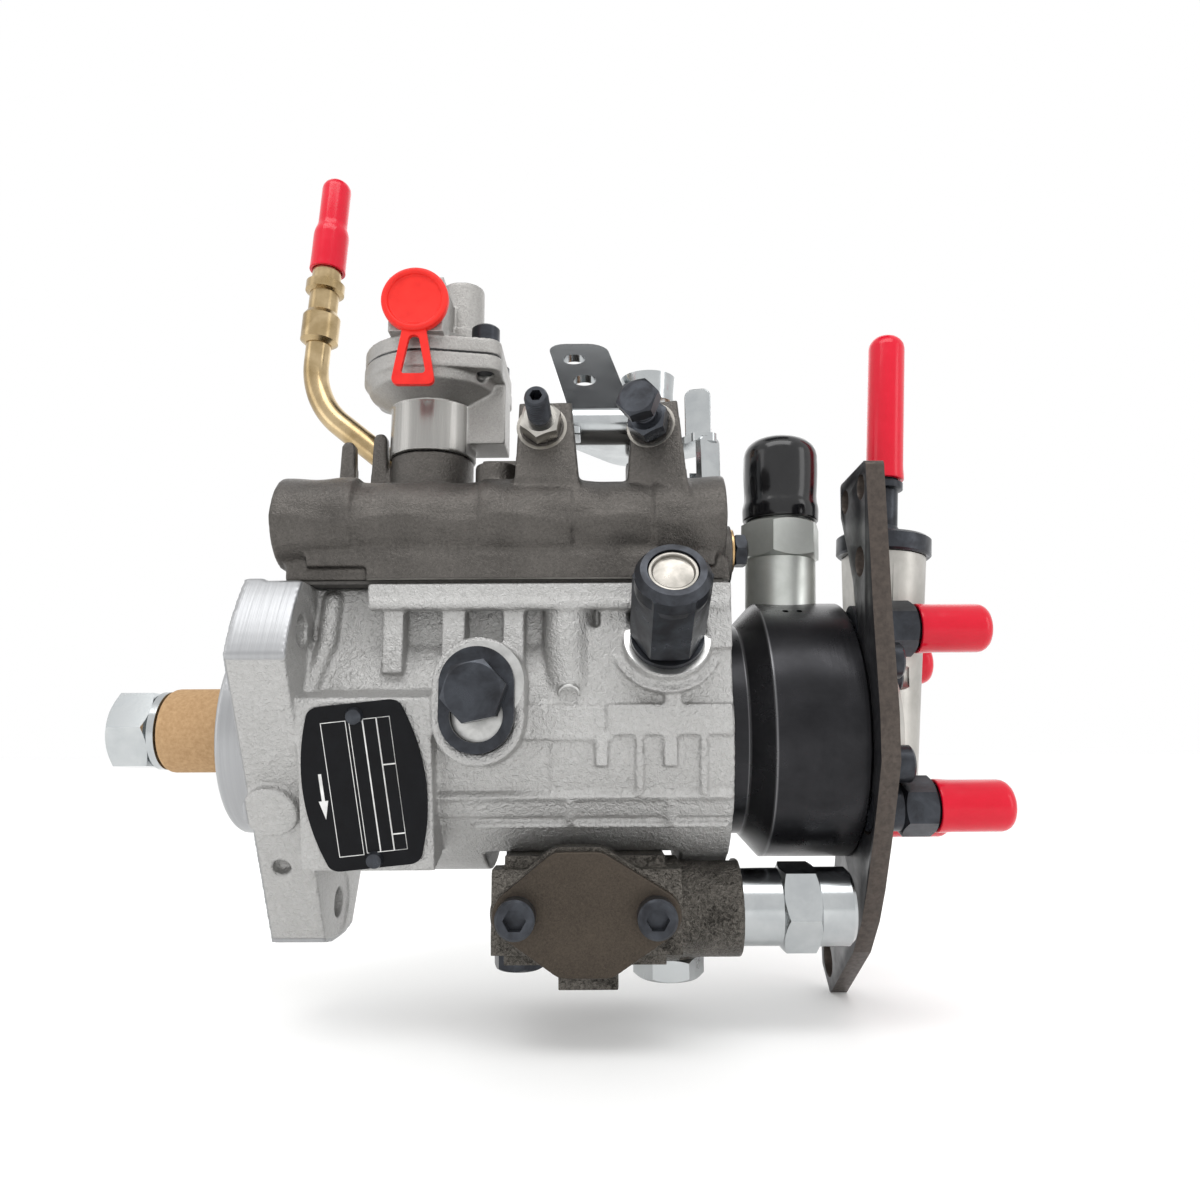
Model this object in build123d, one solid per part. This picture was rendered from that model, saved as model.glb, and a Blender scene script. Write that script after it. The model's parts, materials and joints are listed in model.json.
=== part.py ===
from build123d import *
from math import cos, sin, radians
import os

# Rotary diesel injection pump, built as an assembly of separate pieces. Millimetres.
# The origin is the centre of the mounting flange's front face, on the axis of the drive shaft.
# +X runs along the shaft to the rear, where the delivery outlets are, +Z is up, towards the
# governor cover, and -Y is the side that carries the data plate.

# ---- driving dimensions ----
flange_r = 60.0            # mounting lobes
flange_flat = 41.0         # axis to the flats between the lobes
flange_t = 15.0
pilot_r = 30.0
pilot_len = 13.0
mount_circle_r = 50.0
mount_hole_r = 4.25
body_r = 40.5
body_end = 126.0           # rear face of the main casting
wall_y = 34.0              # half width of the governor chamber
deck_z = 37.6              # joint between main casting and governor cover
gasket_t = 0.8
chamber_r = 27.3
spigot_r = 30.0            # bore that takes the hydraulic head
spigot_x = 100.0
head_r = 37.4
head_end = 162.8
plate_t = 5.0
plate_x = head_end + plate_t
shaft_r = 12.0
rotor_r = 10.0
run_gap = 0.04             # radial gap of every running fit
cam_x = 88.0               # centre of the cam ring and of the advance unit
cam_r = 27.0
advance_z = -46.0
advance_bore_r = 10.0
tube_y, tube_z, tube_r = -33.5, 55.2, 12.1
capsule_x, capsule_y = 41.0, -11.0
throttle_x, throttle_y = 107.5, 5.0
solenoid_x = 147.0
outlet_r = 34.0
outlet_angles = (54.0, -39.0, 141.0, 234.0)
bolt_angles = (32.0, -17.5)

os.makedirs("parts", exist_ok=True)
model = {}


# ---- helpers ----
def tube(r, x0, x1, y=0.0, z=0.0):
    """Cylinder along X from x0 to x1."""
    return Pos((x0 + x1) / 2, y, z) * Rot(0, 90, 0) * Cylinder(r, x1 - x0)


def post(r, z0, z1, x=0.0, y=0.0):
    """Cylinder along Z from z0 to z1."""
    return Pos(x, y, (z0 + z1) / 2) * Cylinder(r, z1 - z0)


def rod(r, y0, y1, x=0.0, z=0.0):
    """Cylinder along Y from y0 to y1."""
    return Pos(x, (y0 + y1) / 2, z) * Rot(90, 0, 0) * Cylinder(r, y1 - y0)


def block(x0, x1, y0, y1, z0, z1):
    """Box between two corners."""
    return Pos((x0 + x1) / 2, (y0 + y1) / 2, (z0 + z1) / 2) * Box(x1 - x0, y1 - y0, z1 - z0)


def turned(profile, place=Location()):
    """Solid of revolution about local Z from (radius, height) points, moved to place."""
    points = [(r, z) for r, z in profile]
    face = make_face(Polyline(*points, close=True))
    return place * revolve(Plane.XZ * face, Axis.Z, 360)


def hexagon(flats, h0, h1, place=Location(), chamfer_h=0.8, turn=0.0):
    """Hexagonal prism along local Z, its corners turned down at both ends."""
    corner = flats / 3 ** 0.5
    prism = Pos(0, 0, (h0 + h1) / 2) * Rot(0, 0, turn) * extrude(
        RegularPolygon(corner, 6), (h1 - h0) / 2, both=True)
    lathe = turned([(0, h0), (corner - chamfer_h * 1.7, h0), (corner, h0 + chamfer_h),
                    (corner, h1 - chamfer_h), (corner - chamfer_h * 1.7, h1), (0, h1)])
    return place * (prism & lathe)


def place_at(origin, direction, side=(1, 0, 0)):
    """Location whose Z runs along direction."""
    return Plane(origin=origin, x_dir=side, z_dir=direction).location


def polar(radius, angle):
    """(Y, Z) of a point at an angle measured from -Y towards +Z."""
    return -radius * cos(radians(angle)), radius * sin(radians(angle))


def slab(points, x0, x1):
    """Outline of (Y, Z) points extruded along X."""
    wire = Polyline(*[(x0, y, z) for y, z in points], close=True)
    return extrude(make_face(wire), x1 - x0, dir=(1, 0, 0))


def keep(name, *solids):
    """Add a node made of one or more solids."""
    model[name] = solids[0] if len(solids) == 1 else Compound(children=list(solids))


def hull_plate(circles, plane, thickness):
    """Plate whose outline is the hull of (u, v, radius) circles."""
    sketch = Sketch() + [Pos(u, v) * Circle(r) for u, v, r in circles]
    return extrude(plane * make_hull(sketch.edges()), thickness)


def facing(y):
    """Plane at y that looks towards -Y, with +X to its right and +Z up."""
    return Plane(origin=(0, y, 0), x_dir=(1, 0, 0), z_dir=(0, -1, 0))


def rearward(x):
    """Plane at x that looks towards +X, with +Y to its right and +Z up."""
    return Plane(origin=(x, 0, 0), x_dir=(0, 1, 0), z_dir=(1, 0, 0))


def level(z):
    """Plane at z that looks up."""
    return Plane(origin=(0, 0, z), x_dir=(1, 0, 0), z_dir=(0, 0, 1))


def bar(start, end, r):
    """Round-ended bar between two points."""
    a, b = Vector(*start), Vector(*end)
    axis = b - a
    shaft = place_at(a + axis * 0.5, axis, (0, 1, 0) if abs(axis.normalized().X) > 0.9 else (1, 0, 0))
    return shaft * Cylinder(r, axis.length) + Pos(a) * Sphere(r) + Pos(b) * Sphere(r)


def sector(a0, a1, r, x0, x1):
    """Band of a cylinder between two polar angles."""
    reach = r * 1.6
    wedge = slab([(0, 0), polar(reach, a0), polar(reach, (a0 + a1) / 2), polar(reach, a1)], x0, x1)
    return wedge & tube(r, x0, x1)


def coil(radius, wire, turns, height, place=Location()):
    """Compression spring along local Z."""
    path = Helix(height / turns, height, radius)
    section = Plane(path @ 0, z_dir=path % 0) * Circle(wire)
    return place * sweep(section, path)


def socket_screw(thread, length, place, head=None):
    """Cap screw with a hexagon socket, its seat at local Z = 0 and its head above."""
    d = head or thread * 1.65
    body = turned([(0, -length), (thread / 2 - 0.4, -length), (thread / 2, -length + 0.5),
                   (thread / 2, 0), (d / 2, 0), (d / 2, thread - 0.6), (d / 2 - 0.6, thread), (0, thread)])
    recess = Pos(0, 0, thread * 0.75) * extrude(RegularPolygon(thread * 0.48, 6), thread * 0.3, both=True)
    return place * (body - recess)


# ---- the main casting and what is fastened to it ----
rail_x0 = 30.4
plate_pad = place_at((32.0, -43.2, -14.5), (0, -cos(radians(15)), -sin(radians(15))))
lock_x, lock_z = 61.0, 6.8
inlet_dir = (0, -cos(radians(30)), sin(radians(30)))
inlet_base = (109.0, -41.0, 22.5)
floor_z = -33.0            # joint between main casting and advance unit
advance_studs = ((68.5, -10.0), (103.4, 19.0))


def flange():
    lobes = tube(flange_r, 0, flange_t)
    lobes &= slab([polar(2 * flange_flat, a) for a in (30, 150, 270)], 0, flange_t)
    pilot = turned([(0, -pilot_len), (pilot_r - 1, -pilot_len), (pilot_r, -pilot_len + 1),
                    (pilot_r, 1), (0, 1)], Rot(0, 90, 0))
    side_boss = place_at((6.3, -34.6, -20.0), polar_vector(-30)) * Cylinder(7.2, 7)
    cored_hole = place_at((6.0, -25.5, -36.5), polar_vector(-30)) * Cylinder(2.4, 5)
    solid = lobes + pilot + side_boss - cored_hole
    for angle in (30, 150, 270):
        y, z = polar(mount_circle_r, angle)
        solid -= tube(mount_hole_r, -1, flange_t + 1, y, z)
        solid -= tube(9.0, flange_t - 0.6, flange_t + 1, y, z)
    return solid


def polar_vector(angle):
    y, z = polar(1.0, angle)
    return (0, y, z)


def casting_body():
    core = tube(body_r, 12, body_end)
    chamber = block(12, body_end, -wall_y, wall_y, 0, deck_z)
    solid = core + chamber
    for side in (0, 180):
        turn = (lambda a: a) if side == 0 else (lambda a: 180 - a)
        for a0, a1, r, x0 in ((7.5, -2.5, 41.5, 72), (-2.5, -24, 41.0, 79),
                              (-24, -34, 41.7, 50), (-34, -58, 41.0, 50)):
            solid += sector(turn(a0), turn(a1), r, x0, body_end)
        front, back = (-1, -1) if side == 0 else (1, 1)
        y0, y1 = sorted((front * 41.6, back * 30.0))
        solid += block(rail_x0, body_end, y0, y1, 33.4, deck_z)
        y0, y1 = sorted((front * 39.6, back * 30.0))
        solid += block(87, body_end, y0, y1, 5, 26)
        for x0, x1 in ((34.4, 39.9), (50.0, 56.0), (66.0, 71.5)):
            y0, y1 = sorted((front * 40.4, back * 30.0))
            solid += block(x0, x1, y0, y1, 14, 34)
    return solid


def make_housing():
    solid = flange() + casting_body()
    solid += block(91.5, 99, -39.6, -30, 26, 34) + block(117, body_end, -41.0, -30, 20, 34)
    core_boss = post(6.9, 5.5, 34, 83.3, -34.6)
    core_boss -= Pos(83.3, -41.5, 5.5) * Rot(45, 0, 0) * Box(20, 9, 9)
    solid += core_boss
    solid += place_at((83.3, -39.0, 9.5), (0, -0.75, -0.66)) * Cylinder(2.9, 3)
    solid += block(108, 112.4, -42.4, -36, 5, 14)
    for x0, x1 in ((90.0, 93.4), (107.5, 111.0)):
        solid += block(x0, x1, -42.2, -36, -10, -2)
    # bead behind the upper lobe
    solid += bar((19.5, -34.0, 34.0), (18.5, -35.5, 22.0), 2.6)
    solid += bar((18.5, -35.5, 22.0), (15.5, -40.2, 8.0), 2.6)
    # raised pads: data plate, lock screw, fuel inlet
    solid += plate_pad * Pos(0, 0, -6) * Box(34, 45, 12)
    solid += hull_plate([(lock_x, lock_z + 4, 11.6), (lock_x, lock_z - 5, 11.6)], facing(-30), 20)
    inlet_boss = place_at(inlet_base, inlet_dir)
    solid += inlet_boss * Pos(0, 0, -8) * Cylinder(11.6, 16)
    solid += inlet_boss * Pos(0, 0, -9) * Cone(8, 14.5, 12)
    solid -= inlet_boss * Pos(0, 0, 15) * Cylinder(10.6, 30)
    # joint face of the governor cover, which reaches over the rear half of the flange
    solid -= block(4.8, body_end + 1, -70, 70, deck_z, 90) + block(-1, 5, -70, 70, 38.3, 90)
    # bores from the front: seal, bush, governor and cam chamber, hydraulic head
    solid -= tube(16, -pilot_len - 1, -5)
    solid -= tube(14, -6, 27)
    solid -= tube(chamber_r, 26, body_end + 1)
    solid -= tube(spigot_r, spigot_x, body_end + 1)
    solid -= block(38, 97, -22, 22, 0, deck_z + 1)
    solid -= post(6.5, 26, deck_z + 1, 112)
    # joint face of the advance unit and the slot for its pin
    solid -= block(60, 113, -50, 50, -60, floor_z)
    solid -= hull_plate([(cam_x, -10, 5.2), (cam_x, 4, 5.2)], level(-36), 14)
    solid -= rod(5.3, -52, -20, lock_x, lock_z + 1.5)
    solid -= rod(9.0, -51, -47, lock_x, lock_z - 4.5) - rod(5.5, -52, -46, lock_x, lock_z + 1.5)
    solid -= inlet_boss * Pos(0, 0, -4) * Cylinder(6.05, 30)
    for x, y in advance_studs:
        solid -= post(4.05, -34, -26.5, x, y)
    for x, y in cover_bolts:
        solid -= post(3.05, deck_z - 12, deck_z + 1, x, y)
    keep("pump_housing", solid)


cover_bolts = ((24.0, 36.5), (104.0, 36.5), (20.0, -29.4), (110.0, -29.4))
cover_z = deck_z + gasket_t
cover_roof = 66.0


def make_gasket():
    sheet = block(12, 124, -40, 40, deck_z, cover_z) - block(38, 97, -22, 22, deck_z - 1, cover_z + 1)
    sheet -= post(6.5, deck_z - 1, cover_z + 1, 112)
    for x, y in cover_bolts:
        sheet -= post(3.4, deck_z - 1, cover_z + 1, x, y)
    keep("cover_gasket", sheet)


def stop_boss(x0, x1, top0, top1, seat, way):
    """Tall slab that carries a stop screw; its front is square to the screw."""
    outline = make_face(Polyline((x0, 56), (x1, 56), (top1, 88.5), (top0, 88.5), close=True))
    solid = extrude(facing(-21) * outline, 25)
    return solid - place_at(seat, way) * Pos(0, 0, 15) * Box(60, 60, 30)


idle_seat = Vector(75.9, -39.6, 80.9)
idle_dir = Vector(-0.035, -0.983, 0.18)
speed_seat = Vector(105.6, -39.0, 81.5)
speed_dir = Vector(-0.29, -0.94, 0.18)


def make_governor_cover():
    lip = block(8, 126, -40, 40, cover_z, 43.5) + block(30, 103, -42.4, -36, cover_z, 42.5)
    roof = block(14, 122, -30, 38, 42, cover_roof)
    solid = lip + roof + tube(tube_r, 5.2, 125, tube_y, tube_z)
    solid += tube(tube_r + 1.0, 5.2, 26, tube_y, tube_z)
    solid += tube(tube_r + 0.6, 60, 84, tube_y, tube_z)
    solid += tube(tube_r + 1.0, 106, 125, tube_y, tube_z)
    solid += block(14, 122, tube_y - 9, -20, 42, 56)
    solid += post(12.3, 60, 80.2, capsule_x, capsule_y)
    solid += stop_boss(68.5, 87.0, 69.5, 84.0, idle_seat, idle_dir)
    solid += stop_boss(98.0, 115.5, 101.0, 113.0, speed_seat, speed_dir)
    solid += post(7.6, 60, 84, throttle_x, throttle_y)
    solid += block(58, 70, -26, -16, 60, 76) + post(6.2, 60, 73.5, 62.5, -27)
    for x, top in ((15.7, 84.2), (25.3, 86.7)):
        solid += hull_plate([(x, 60, 3.2), (x, top, 2.0)], facing(-9), 4.5)
    solid += post(6.5, 60, 70, 26.5, -1)
    solid += tube(8.6, 120, 128.5, -22, 48.5)
    # hollow underneath, spring tunnel and bores
    solid -= block(20, 116, -24, 32, cover_z - 1, 60.5)
    solid -= tube(8.5, 28, 103, tube_y, tube_z)
    solid -= post(9.05, 59, 81, capsule_x, capsule_y)
    solid -= post(4 + run_gap, 59, 85, throttle_x, throttle_y)
    solid -= post(4.05, 59, 73, 26.5, -1)
    solid -= tube(4.05, 115.4, 129, -22, 49.8)
    for seat, way in ((idle_seat, idle_dir), (speed_seat, speed_dir)):
        solid -= place_at(seat, way) * Cylinder(3.05, 70)
    for x, y in cover_bolts:
        solid -= post(3.4, cover_z - 1, 80, x, y)
        solid -= post(5.3, 43.5, 80, x, y)
    keep("governor_cover", solid)


def make_plates_and_plugs():
    barrel = hull_plate([(-9.0, 19.4, 2.0), (9.0, 19.4, 2.0), (-9.0, -19.4, 2.0), (9.0, -19.4, 2.0),
                         (-12.0, 13, 2.0), (12.0, 13, 2.0), (-12.0, -13, 2.0), (12.0, -13, 2.0),
                         (-13.5, 5, 2.0), (13.5, 5, 2.0), (-13.5, -5, 2.0), (13.5, -5, 2.0)],
                        Plane.XY, 0.8)
    tilt = plate_pad * Rot(0, 0, 6)
    rivets = []
    for v in (18.2, -19.2):
        barrel -= Pos(0, v, 0) * Cylinder(1.2, 3)
        rivets.append(tilt * turned([(0, 0), (1.2, 0), (1.2, 0.8), (2.3, 0.8), (1.9, 1.9), (0, 2.4)],
                                    Pos(0, v, 0)))
    keep("data_plate", tilt * barrel)
    keep("data_plate_rivets", *rivets)

    head = place_at((lock_x, -53, lock_z + 1.5), (0, -1, 0))
    shank = turned([(0, -33), (4.4, -33), (5, -32.2), (5, 0), (0, 0)], head)
    keep("lock_screw", hexagon(14, 0, 7.2, head, turn=12) + shank)
    spacer = hull_plate([(lock_x, lock_z + 3.6, 9.3), (lock_x, lock_z - 4.2, 9.3)], facing(-50), 3)
    spacer -= rod(5.3, -55, -48, lock_x, lock_z + 1.5)
    spacer -= rod(6.6, -55, -48, lock_x, lock_z - 4.2)
    keep("lock_screw_spacer", spacer)

    seat = place_at(inlet_base, inlet_dir)
    barrel = hexagon(17, 1.5, 27, seat, 1.5, 0)
    barrel += turned([(0, -13), (5.2, -13), (6, -12), (6, 0), (9.6, 0), (9.6, 1.6), (0, 1.6)], seat)
    barrel += turned([(0, 20), (9.0, 20), (9.4, 22), (9.4, 25.5), (8.0, 27.8), (0, 27.8)], seat)
    barrel -= seat * Pos(0, 0, 26.5) * Cylinder(6.3, 5)
    keep("inlet_adaptor", barrel)
    plug = place_at((128.5, -22, 49.8), (1, 0, 0), (0, 1, 0))
    keep("cover_plug", hexagon(8.5, 1, 5, plug) + turned([(0, -8), (4, -8), (4, 0), (5.2, 0), (5.2, 1), (0, 1)],
                                                        plug))


# ---- hydraulic head, rear plate and what they carry ----
solenoid_seat = place_at((solenoid_x, 0, 34.0), (0.035, 0, 1), (1, 0, 0))
tower_seat = place_at((176.0, 0, 0), (0.07, 0, 1), (1, 0, 0))
outlets = [polar(outlet_r, a) for a in outlet_angles]
plate_bolts = [polar(33.4, a) for a in bolt_angles]


def make_head():
    solid = turned([(0, spigot_x), (spigot_r - 1, spigot_x), (spigot_r, spigot_x + 1), (spigot_r, body_end),
                    (30.8, body_end), (30.8, 131.5), (head_r, 137.5), (head_r, head_end - 0.8),
                    (head_r - 0.8, head_end), (0, head_end)], Rot(0, 90, 0))
    solid -= tube(rotor_r + run_gap, spigot_x - 1, head_end + 1)
    solid -= solenoid_seat * Pos(0, 0, 3) * Cylinder(10.75, 10)
    solid -= solenoid_seat * Pos(0, 0, -11) * Cylinder(4.3, 20)
    solid -= post(4 + run_gap, 10.5, 36, 112)
    solid -= post(7.5, 24.5, 36, 112)
    for y, z in outlets:
        solid -= tube(2.84, head_end - 12, head_end + 1, y, z)
    for y, z in plate_bolts:
        solid -= tube(3.03, head_end - 12, head_end + 1, y, z)
    for y, z in cover_studs:
        solid -= tube(2.53, head_end - 10, head_end + 1, y, z)
    for x in (145.0, 149.0):
        solid -= place_at((x, *polar(head_r, 62)), (0, *polar(1, 62))) * Cylinder(0.9, 4)
    keep("hydraulic_head", solid)


cover_studs = [polar(20.0, a) for a in (45, 135, 225, 315)]


def make_rear_plate():
    points = [(-42.0, 70.6), (-42.0, 30), (-43.3, 3), (-42.3, -9.3), (-37.9, -18.2), (-31.0, -31.0),
              (-23.5, -43.8), (-17.0, -53.0), (-6.9, -63.3), (22.0, -82.0), (31.0, -75.0), (31.0, -65.5),
              (14.0, -50.0), (6.0, -34.0), (10.0, -24.0), (22.0, -12.0), (22.0, 10.0), (8.0, 22.0),
              (-12.0, 24.0), (-26.5, 32.5), (-24.6, 41.0), (-20.0, 52.0), (-15.6, 61.0), (-16.6, 70.6)]
    outline = make_face(Polyline(*points, close=True))
    outline = fillet(outline.vertices(), 1.6)
    solid = extrude(rearward(head_end) * outline, plate_t)
    solid -= tube(26.2, head_end - 1, plate_x + 1)
    strap = slab([(-43.3, 3), (-42.3, -9.3), (-37.9, -18.2), (-24, -12), (-24, 12), (-30, 26), (-42, 26)],
                 head_end, plate_x)
    solid += strap - tube(24.8, head_end - 1, plate_x + 1)
    for y, z in outlets[:2]:
        solid -= tube(7.5, head_end - 1, plate_x + 1, y, z)
    for y, z in plate_bolts:
        solid -= tube(3.3, head_end - 1, plate_x + 1, y, z)
    for y, z, r in plate_holes:
        solid -= tube(r, head_end - 1, plate_x + 1, y, z)
    keep("rear_plate", solid)


plate_holes = ((-36.6, 64.4, 3.5), (-21.0, 64.4, 3.5), (-32.2, 44.6, 4.2), (23.0, -72.0, 5.3))


def make_end_cover():
    solid = turned([(0, head_end), (24.5, head_end), (24.5, 172.0), (22.0, 176.0), (0, 176.0)], Rot(0, 90, 0))
    tower = tower_seat * Pos(0, 0, 17) * Cone(10.8, 12.7, 70)
    tower -= block(150, head_end + 3.0, -40, 40, -40, 60)
    tower -= block(150, plate_x + 0.4, -40, 40, 20.0, 60)
    solid += tower
    solid += tower_seat * Pos(0, -12.1, 18) * Box(1.6, 1.2, 60)
    solid -= tube(14.2, head_end - 1, 171.5)
    solid -= tower_seat * Pos(0, 0, 36) * Cylinder(4.6, 60)
    for y, z in cover_studs:
        solid -= tube(2.7, head_end - 1, 178, y, z)
        solid -= tube(4.6, 173.0, 182, y, z)
    keep("end_cover", solid)
    keep("inlet_union", turned([(0, 46), (4.5, 46), (4.5, 52.2), (13.6, 52.2), (14.2, 52.8), (14.2, 57.6),
                                (13.2, 58.4), (6.2, 58.4), (4.2, 62), (4.2, 73.4), (5.6, 74), (5.6, 76),
                                (4.0, 76.6), (3.8, 112), (3.3, 114), (0, 114)], tower_seat))
    keep("inlet_cap", turned([(4.15, 77), (5.9, 77), (5.75, 122), (4.8, 124.6), (2.5, 125.4), (0, 125.4),
                              (0, 123.8), (3.0, 123.6), (4.15, 121.5)], tower_seat))


def make_delivery():
    holders = []
    for number, (y, z) in enumerate(outlets, 1):
        seat = place_at((plate_x, y, z), (1, 0, 0), (0, 1, 0))
        body = turned([(0, -16), (2.2, -16), (2.8, -15), (2.8, -5), (6.6, -5), (6.6, 3.4), (0, 3.4)], seat)
        body += hexagon(14, 3.4, 12.8, seat, 1.0, 30)
        body += turned([(0, 12), (5.2, 12), (5.2, 14), (6, 15), (6, 27), (5.2, 28), (0, 28)], seat)
        body -= seat * Pos(0, 0, 22) * Cylinder(1.6, 14)
        holders.append(body)
        keep(f"delivery_cap_{number}", turned([(6.1, 13.2), (7.1, 13.2), (7.0, 31), (6.2, 33.6), (4.5, 34.2),
                                               (0, 34.2), (0, 33), (4.6, 32.8), (6.1, 30.5)], seat))
    keep("delivery_holders", *holders)


def make_stop_solenoid():
    body = turned([(0, 0), (10.7, 0), (10.7, 17.0), (0, 17.0)], solenoid_seat)
    body += hexagon(22, 17.0, 29.0, solenoid_seat, 1.4, 10)
    body += turned([(0, 29), (9.4, 29), (9.4, 50), (8.0, 51.5), (0, 51.5)], solenoid_seat)
    body -= solenoid_seat * Pos(0, 0, 5) * Cylinder(4.3, 12)
    keep("stop_solenoid", body)
    keep("solenoid_boot", turned([(9.5, 29.3), (11.4, 29.3), (11.9, 31), (11.7, 50), (10.6, 53.6), (8.0, 55.6),
                                  (0, 56.2), (0, 53.6), (7.6, 53.4), (9.5, 51.8)], solenoid_seat))
    keep("stop_plunger", turned([(0, -20.5), (2.5, -20.5), (4.2, -17.5), (4.2, 5), (0, 5)], solenoid_seat))


# ---- advance unit under the cam ring ----
advance_screws = (70.3, 105.2)


def make_advance_unit():
    solid = block(66.5, 108, -34, 26, -60, floor_z) + block(63.5, 112, -37, -28, -57, -36)
    solid += hull_plate([(81.5, -37.4, 7), (90, -37.4, 7), (83, -55.2, 7), (92, -55.2, 7),
                         (70.3, -46.7, 7.2), (105.2, -46.7, 7.2)], facing(-30), 7.6)
    solid += tube(12.7, 100, 128.6, -20, -48.3) + tube(13.6, 100, 112, -20, -48.3)
    solid += block(80.5, 95.7, -36, -22, -65.6, -58)
    solid += post(8.2, -60.5, -40, 68.5, -10) + post(9.5, -62.0, -40, 110, -12)
    solid += post(8.2, -60.5, -40, *advance_studs[1])
    solid -= tube(42.0, 112.2, 127.0)
    solid -= rod(advance_bore_r, -38, 22, cam_x, advance_z)
    solid -= hull_plate([(cam_x, -10, 5.2), (cam_x, 4, 5.2)], level(-38), 14)
    solid -= tube(8.05, 116, 129, -20, -48.3)
    solid -= post(5.05, -66, -52, 110, -12)
    for x in advance_screws:
        solid -= rod(3.03, -38, -26, x, -46.7)
    for x, y in advance_studs:
        solid -= post(4.3, -66, -30, x, y)
    keep("advance_housing", solid)
    lid = hull_plate([(81.5, -37.2, 6), (90, -37.2, 6), (83, -55.7, 6), (92, -55.7, 6),
                      (70.3, -46.7, 6.3), (105.2, -46.7, 6.3)], facing(-37.6), 3.6)
    for x in advance_screws:
        lid -= rod(3.3, -42, -37, x, -46.7)
    keep("advance_cover", lid)

    tail = place_at((128.6, -20, -48.3), (1, 0, 0), (0, 1, 0))
    damper = turned([(0, -11), (7.5, -11), (8, -10), (8, 0), (10.1, 0), (10.1, 11), (0, 11)], tail)
    damper += hexagon(21, 10.6, 21, tail, 1.3, 8)
    damper += turned([(0, 20.6), (10.3, 20.6), (10.3, 29.0), (9.4, 30.0), (0, 30.0)], tail)
    keep("advance_damper", damper)
    bolts = []
    for x, y in advance_studs:
        seat = place_at((x, y, -60.5), (0, 0, -1))
        bolts.append(hexagon(13, 0, 5.6, seat, 0.8, 15) +
                     turned([(0, -33), (3.6, -33), (4, -32), (4, 0), (0, 0)], seat))
    seat = place_at((110, -12, -62.0), (0, 0, -1))
    bolts.append(hexagon(17, 0, 6.0, seat, 1.0, 0) + turned([(0, -8), (5, -8), (5, 0), (0, 0)], seat))
    keep("advance_bolts", *bolts)


# ---- boost capsule and return pipe ----
capsule = Location((capsule_x, capsule_y, 0))
capsule_bolts = ((58.2, -24.0), (58.2, 4.0), (25.6, 4.0))
port_y = -34.0             # face of the boost port


def capsule_flange(z, t, reach):
    ears = [(x, y, 4.6 + reach) for x, y in capsule_bolts]
    return hull_plate([(capsule_x, capsule_y, 20.6 + reach)] + ears, level(z), t)


def make_boost_capsule():
    body = turned([(0, 80.2), (12.9, 80.2), (12.7, 95.8), (19.2, 99.8), (20.4, 102.5), (0, 102.5)], capsule)
    body += capsule_flange(102.5, 4.6, 0.4)
    body += block(50, 63.4, -17, -3, 84, 103)
    body -= turned([(0, 80), (9.05, 80), (9.05, 100), (16.5, 103.4), (16.5, 108), (0, 108)], capsule)
    roof = capsule_flange(107.6, 4.4, 0.2)
    roof += turned([(0, 111), (19.4, 111), (15.0, 116.0), (0, 116.0)], capsule)
    roof += block(31.6, 47.2, port_y, -14, 111.6, 128)
    roof += post(6.6, 112, 136.5, 49.0, -9) + post(8.6, 110, 121, 49.0, -9)
    roof -= turned([(0, 107), (16.5, 107), (16.5, 110), (12, 114), (0, 114)], capsule)
    roof -= rod(4.2, port_y - 1, -20, 39.4, 120.3)
    roof -= post(2.0, 112.5, 121, 39.4, -21.5)
    for x, y in capsule_bolts:
        body -= post(2.53, 101, 108, x, y)
        roof -= post(2.8, 106, 113, x, y) + post(4.7, 112, 122, x, y)
    keep("boost_body", body)
    keep("boost_cover", roof)
    sheet = capsule_flange(107.1, 0.5, 0) - post(12.4, 106, 109, capsule_x, capsule_y)
    for x, y in capsule_bolts:
        sheet -= post(2.8, 106, 113, x, y)
    keep("boost_diaphragm", sheet)
    pin = turned([(0, 70), (2.0, 70), (3.0, 73), (3.0, 104), (12.2, 105), (12.2, 109), (4.0, 110.4),
                  (0, 110.4)], capsule)
    keep("boost_pin", pin)
    keep("boost_spring", coil(7.2, 0.7, 6, 20.6, Location((capsule_x, capsule_y, 82.6))))
    # pull-off dust cap in the boost port
    port = place_at((39.4, port_y, 120.3), (0, -1, 0))
    disc = turned([(0, -6), (3.6, -6), (4.1, -5), (4.1, 0), (9.2, 0), (9.6, 0.5), (9.6, 2.0), (9.0, 2.6),
                   (7.4, 2.6), (7.0, 1.6), (0, 1.6)], port)
    loop = hull_plate([(-3.6, -9.5, 1.2), (3.6, -9.5, 1.2), (-5.0, -24.0, 1.2), (5.0, -24.0, 1.2)], Plane.XY, 1.8)
    loop -= Pos(0, 0, -1) * hull_plate([(-1.2, -11.0, 0.5), (1.2, -11.0, 0.5), (-3.2, -21.6, 0.8),
                                        (3.2, -21.6, 0.8)], Plane.XY, 4)
    loop -= Cylinder(8, 8)
    keep("boost_port_cap", disc + port * loop)


pipe_r = 4.4
pipe_foot, pipe_knee, pipe_top = Vector(26.5, -1, 64), Vector(-1.0, 4, 116), Vector(2.4, 5, 172)
pipe_r_bend = 26.0


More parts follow.
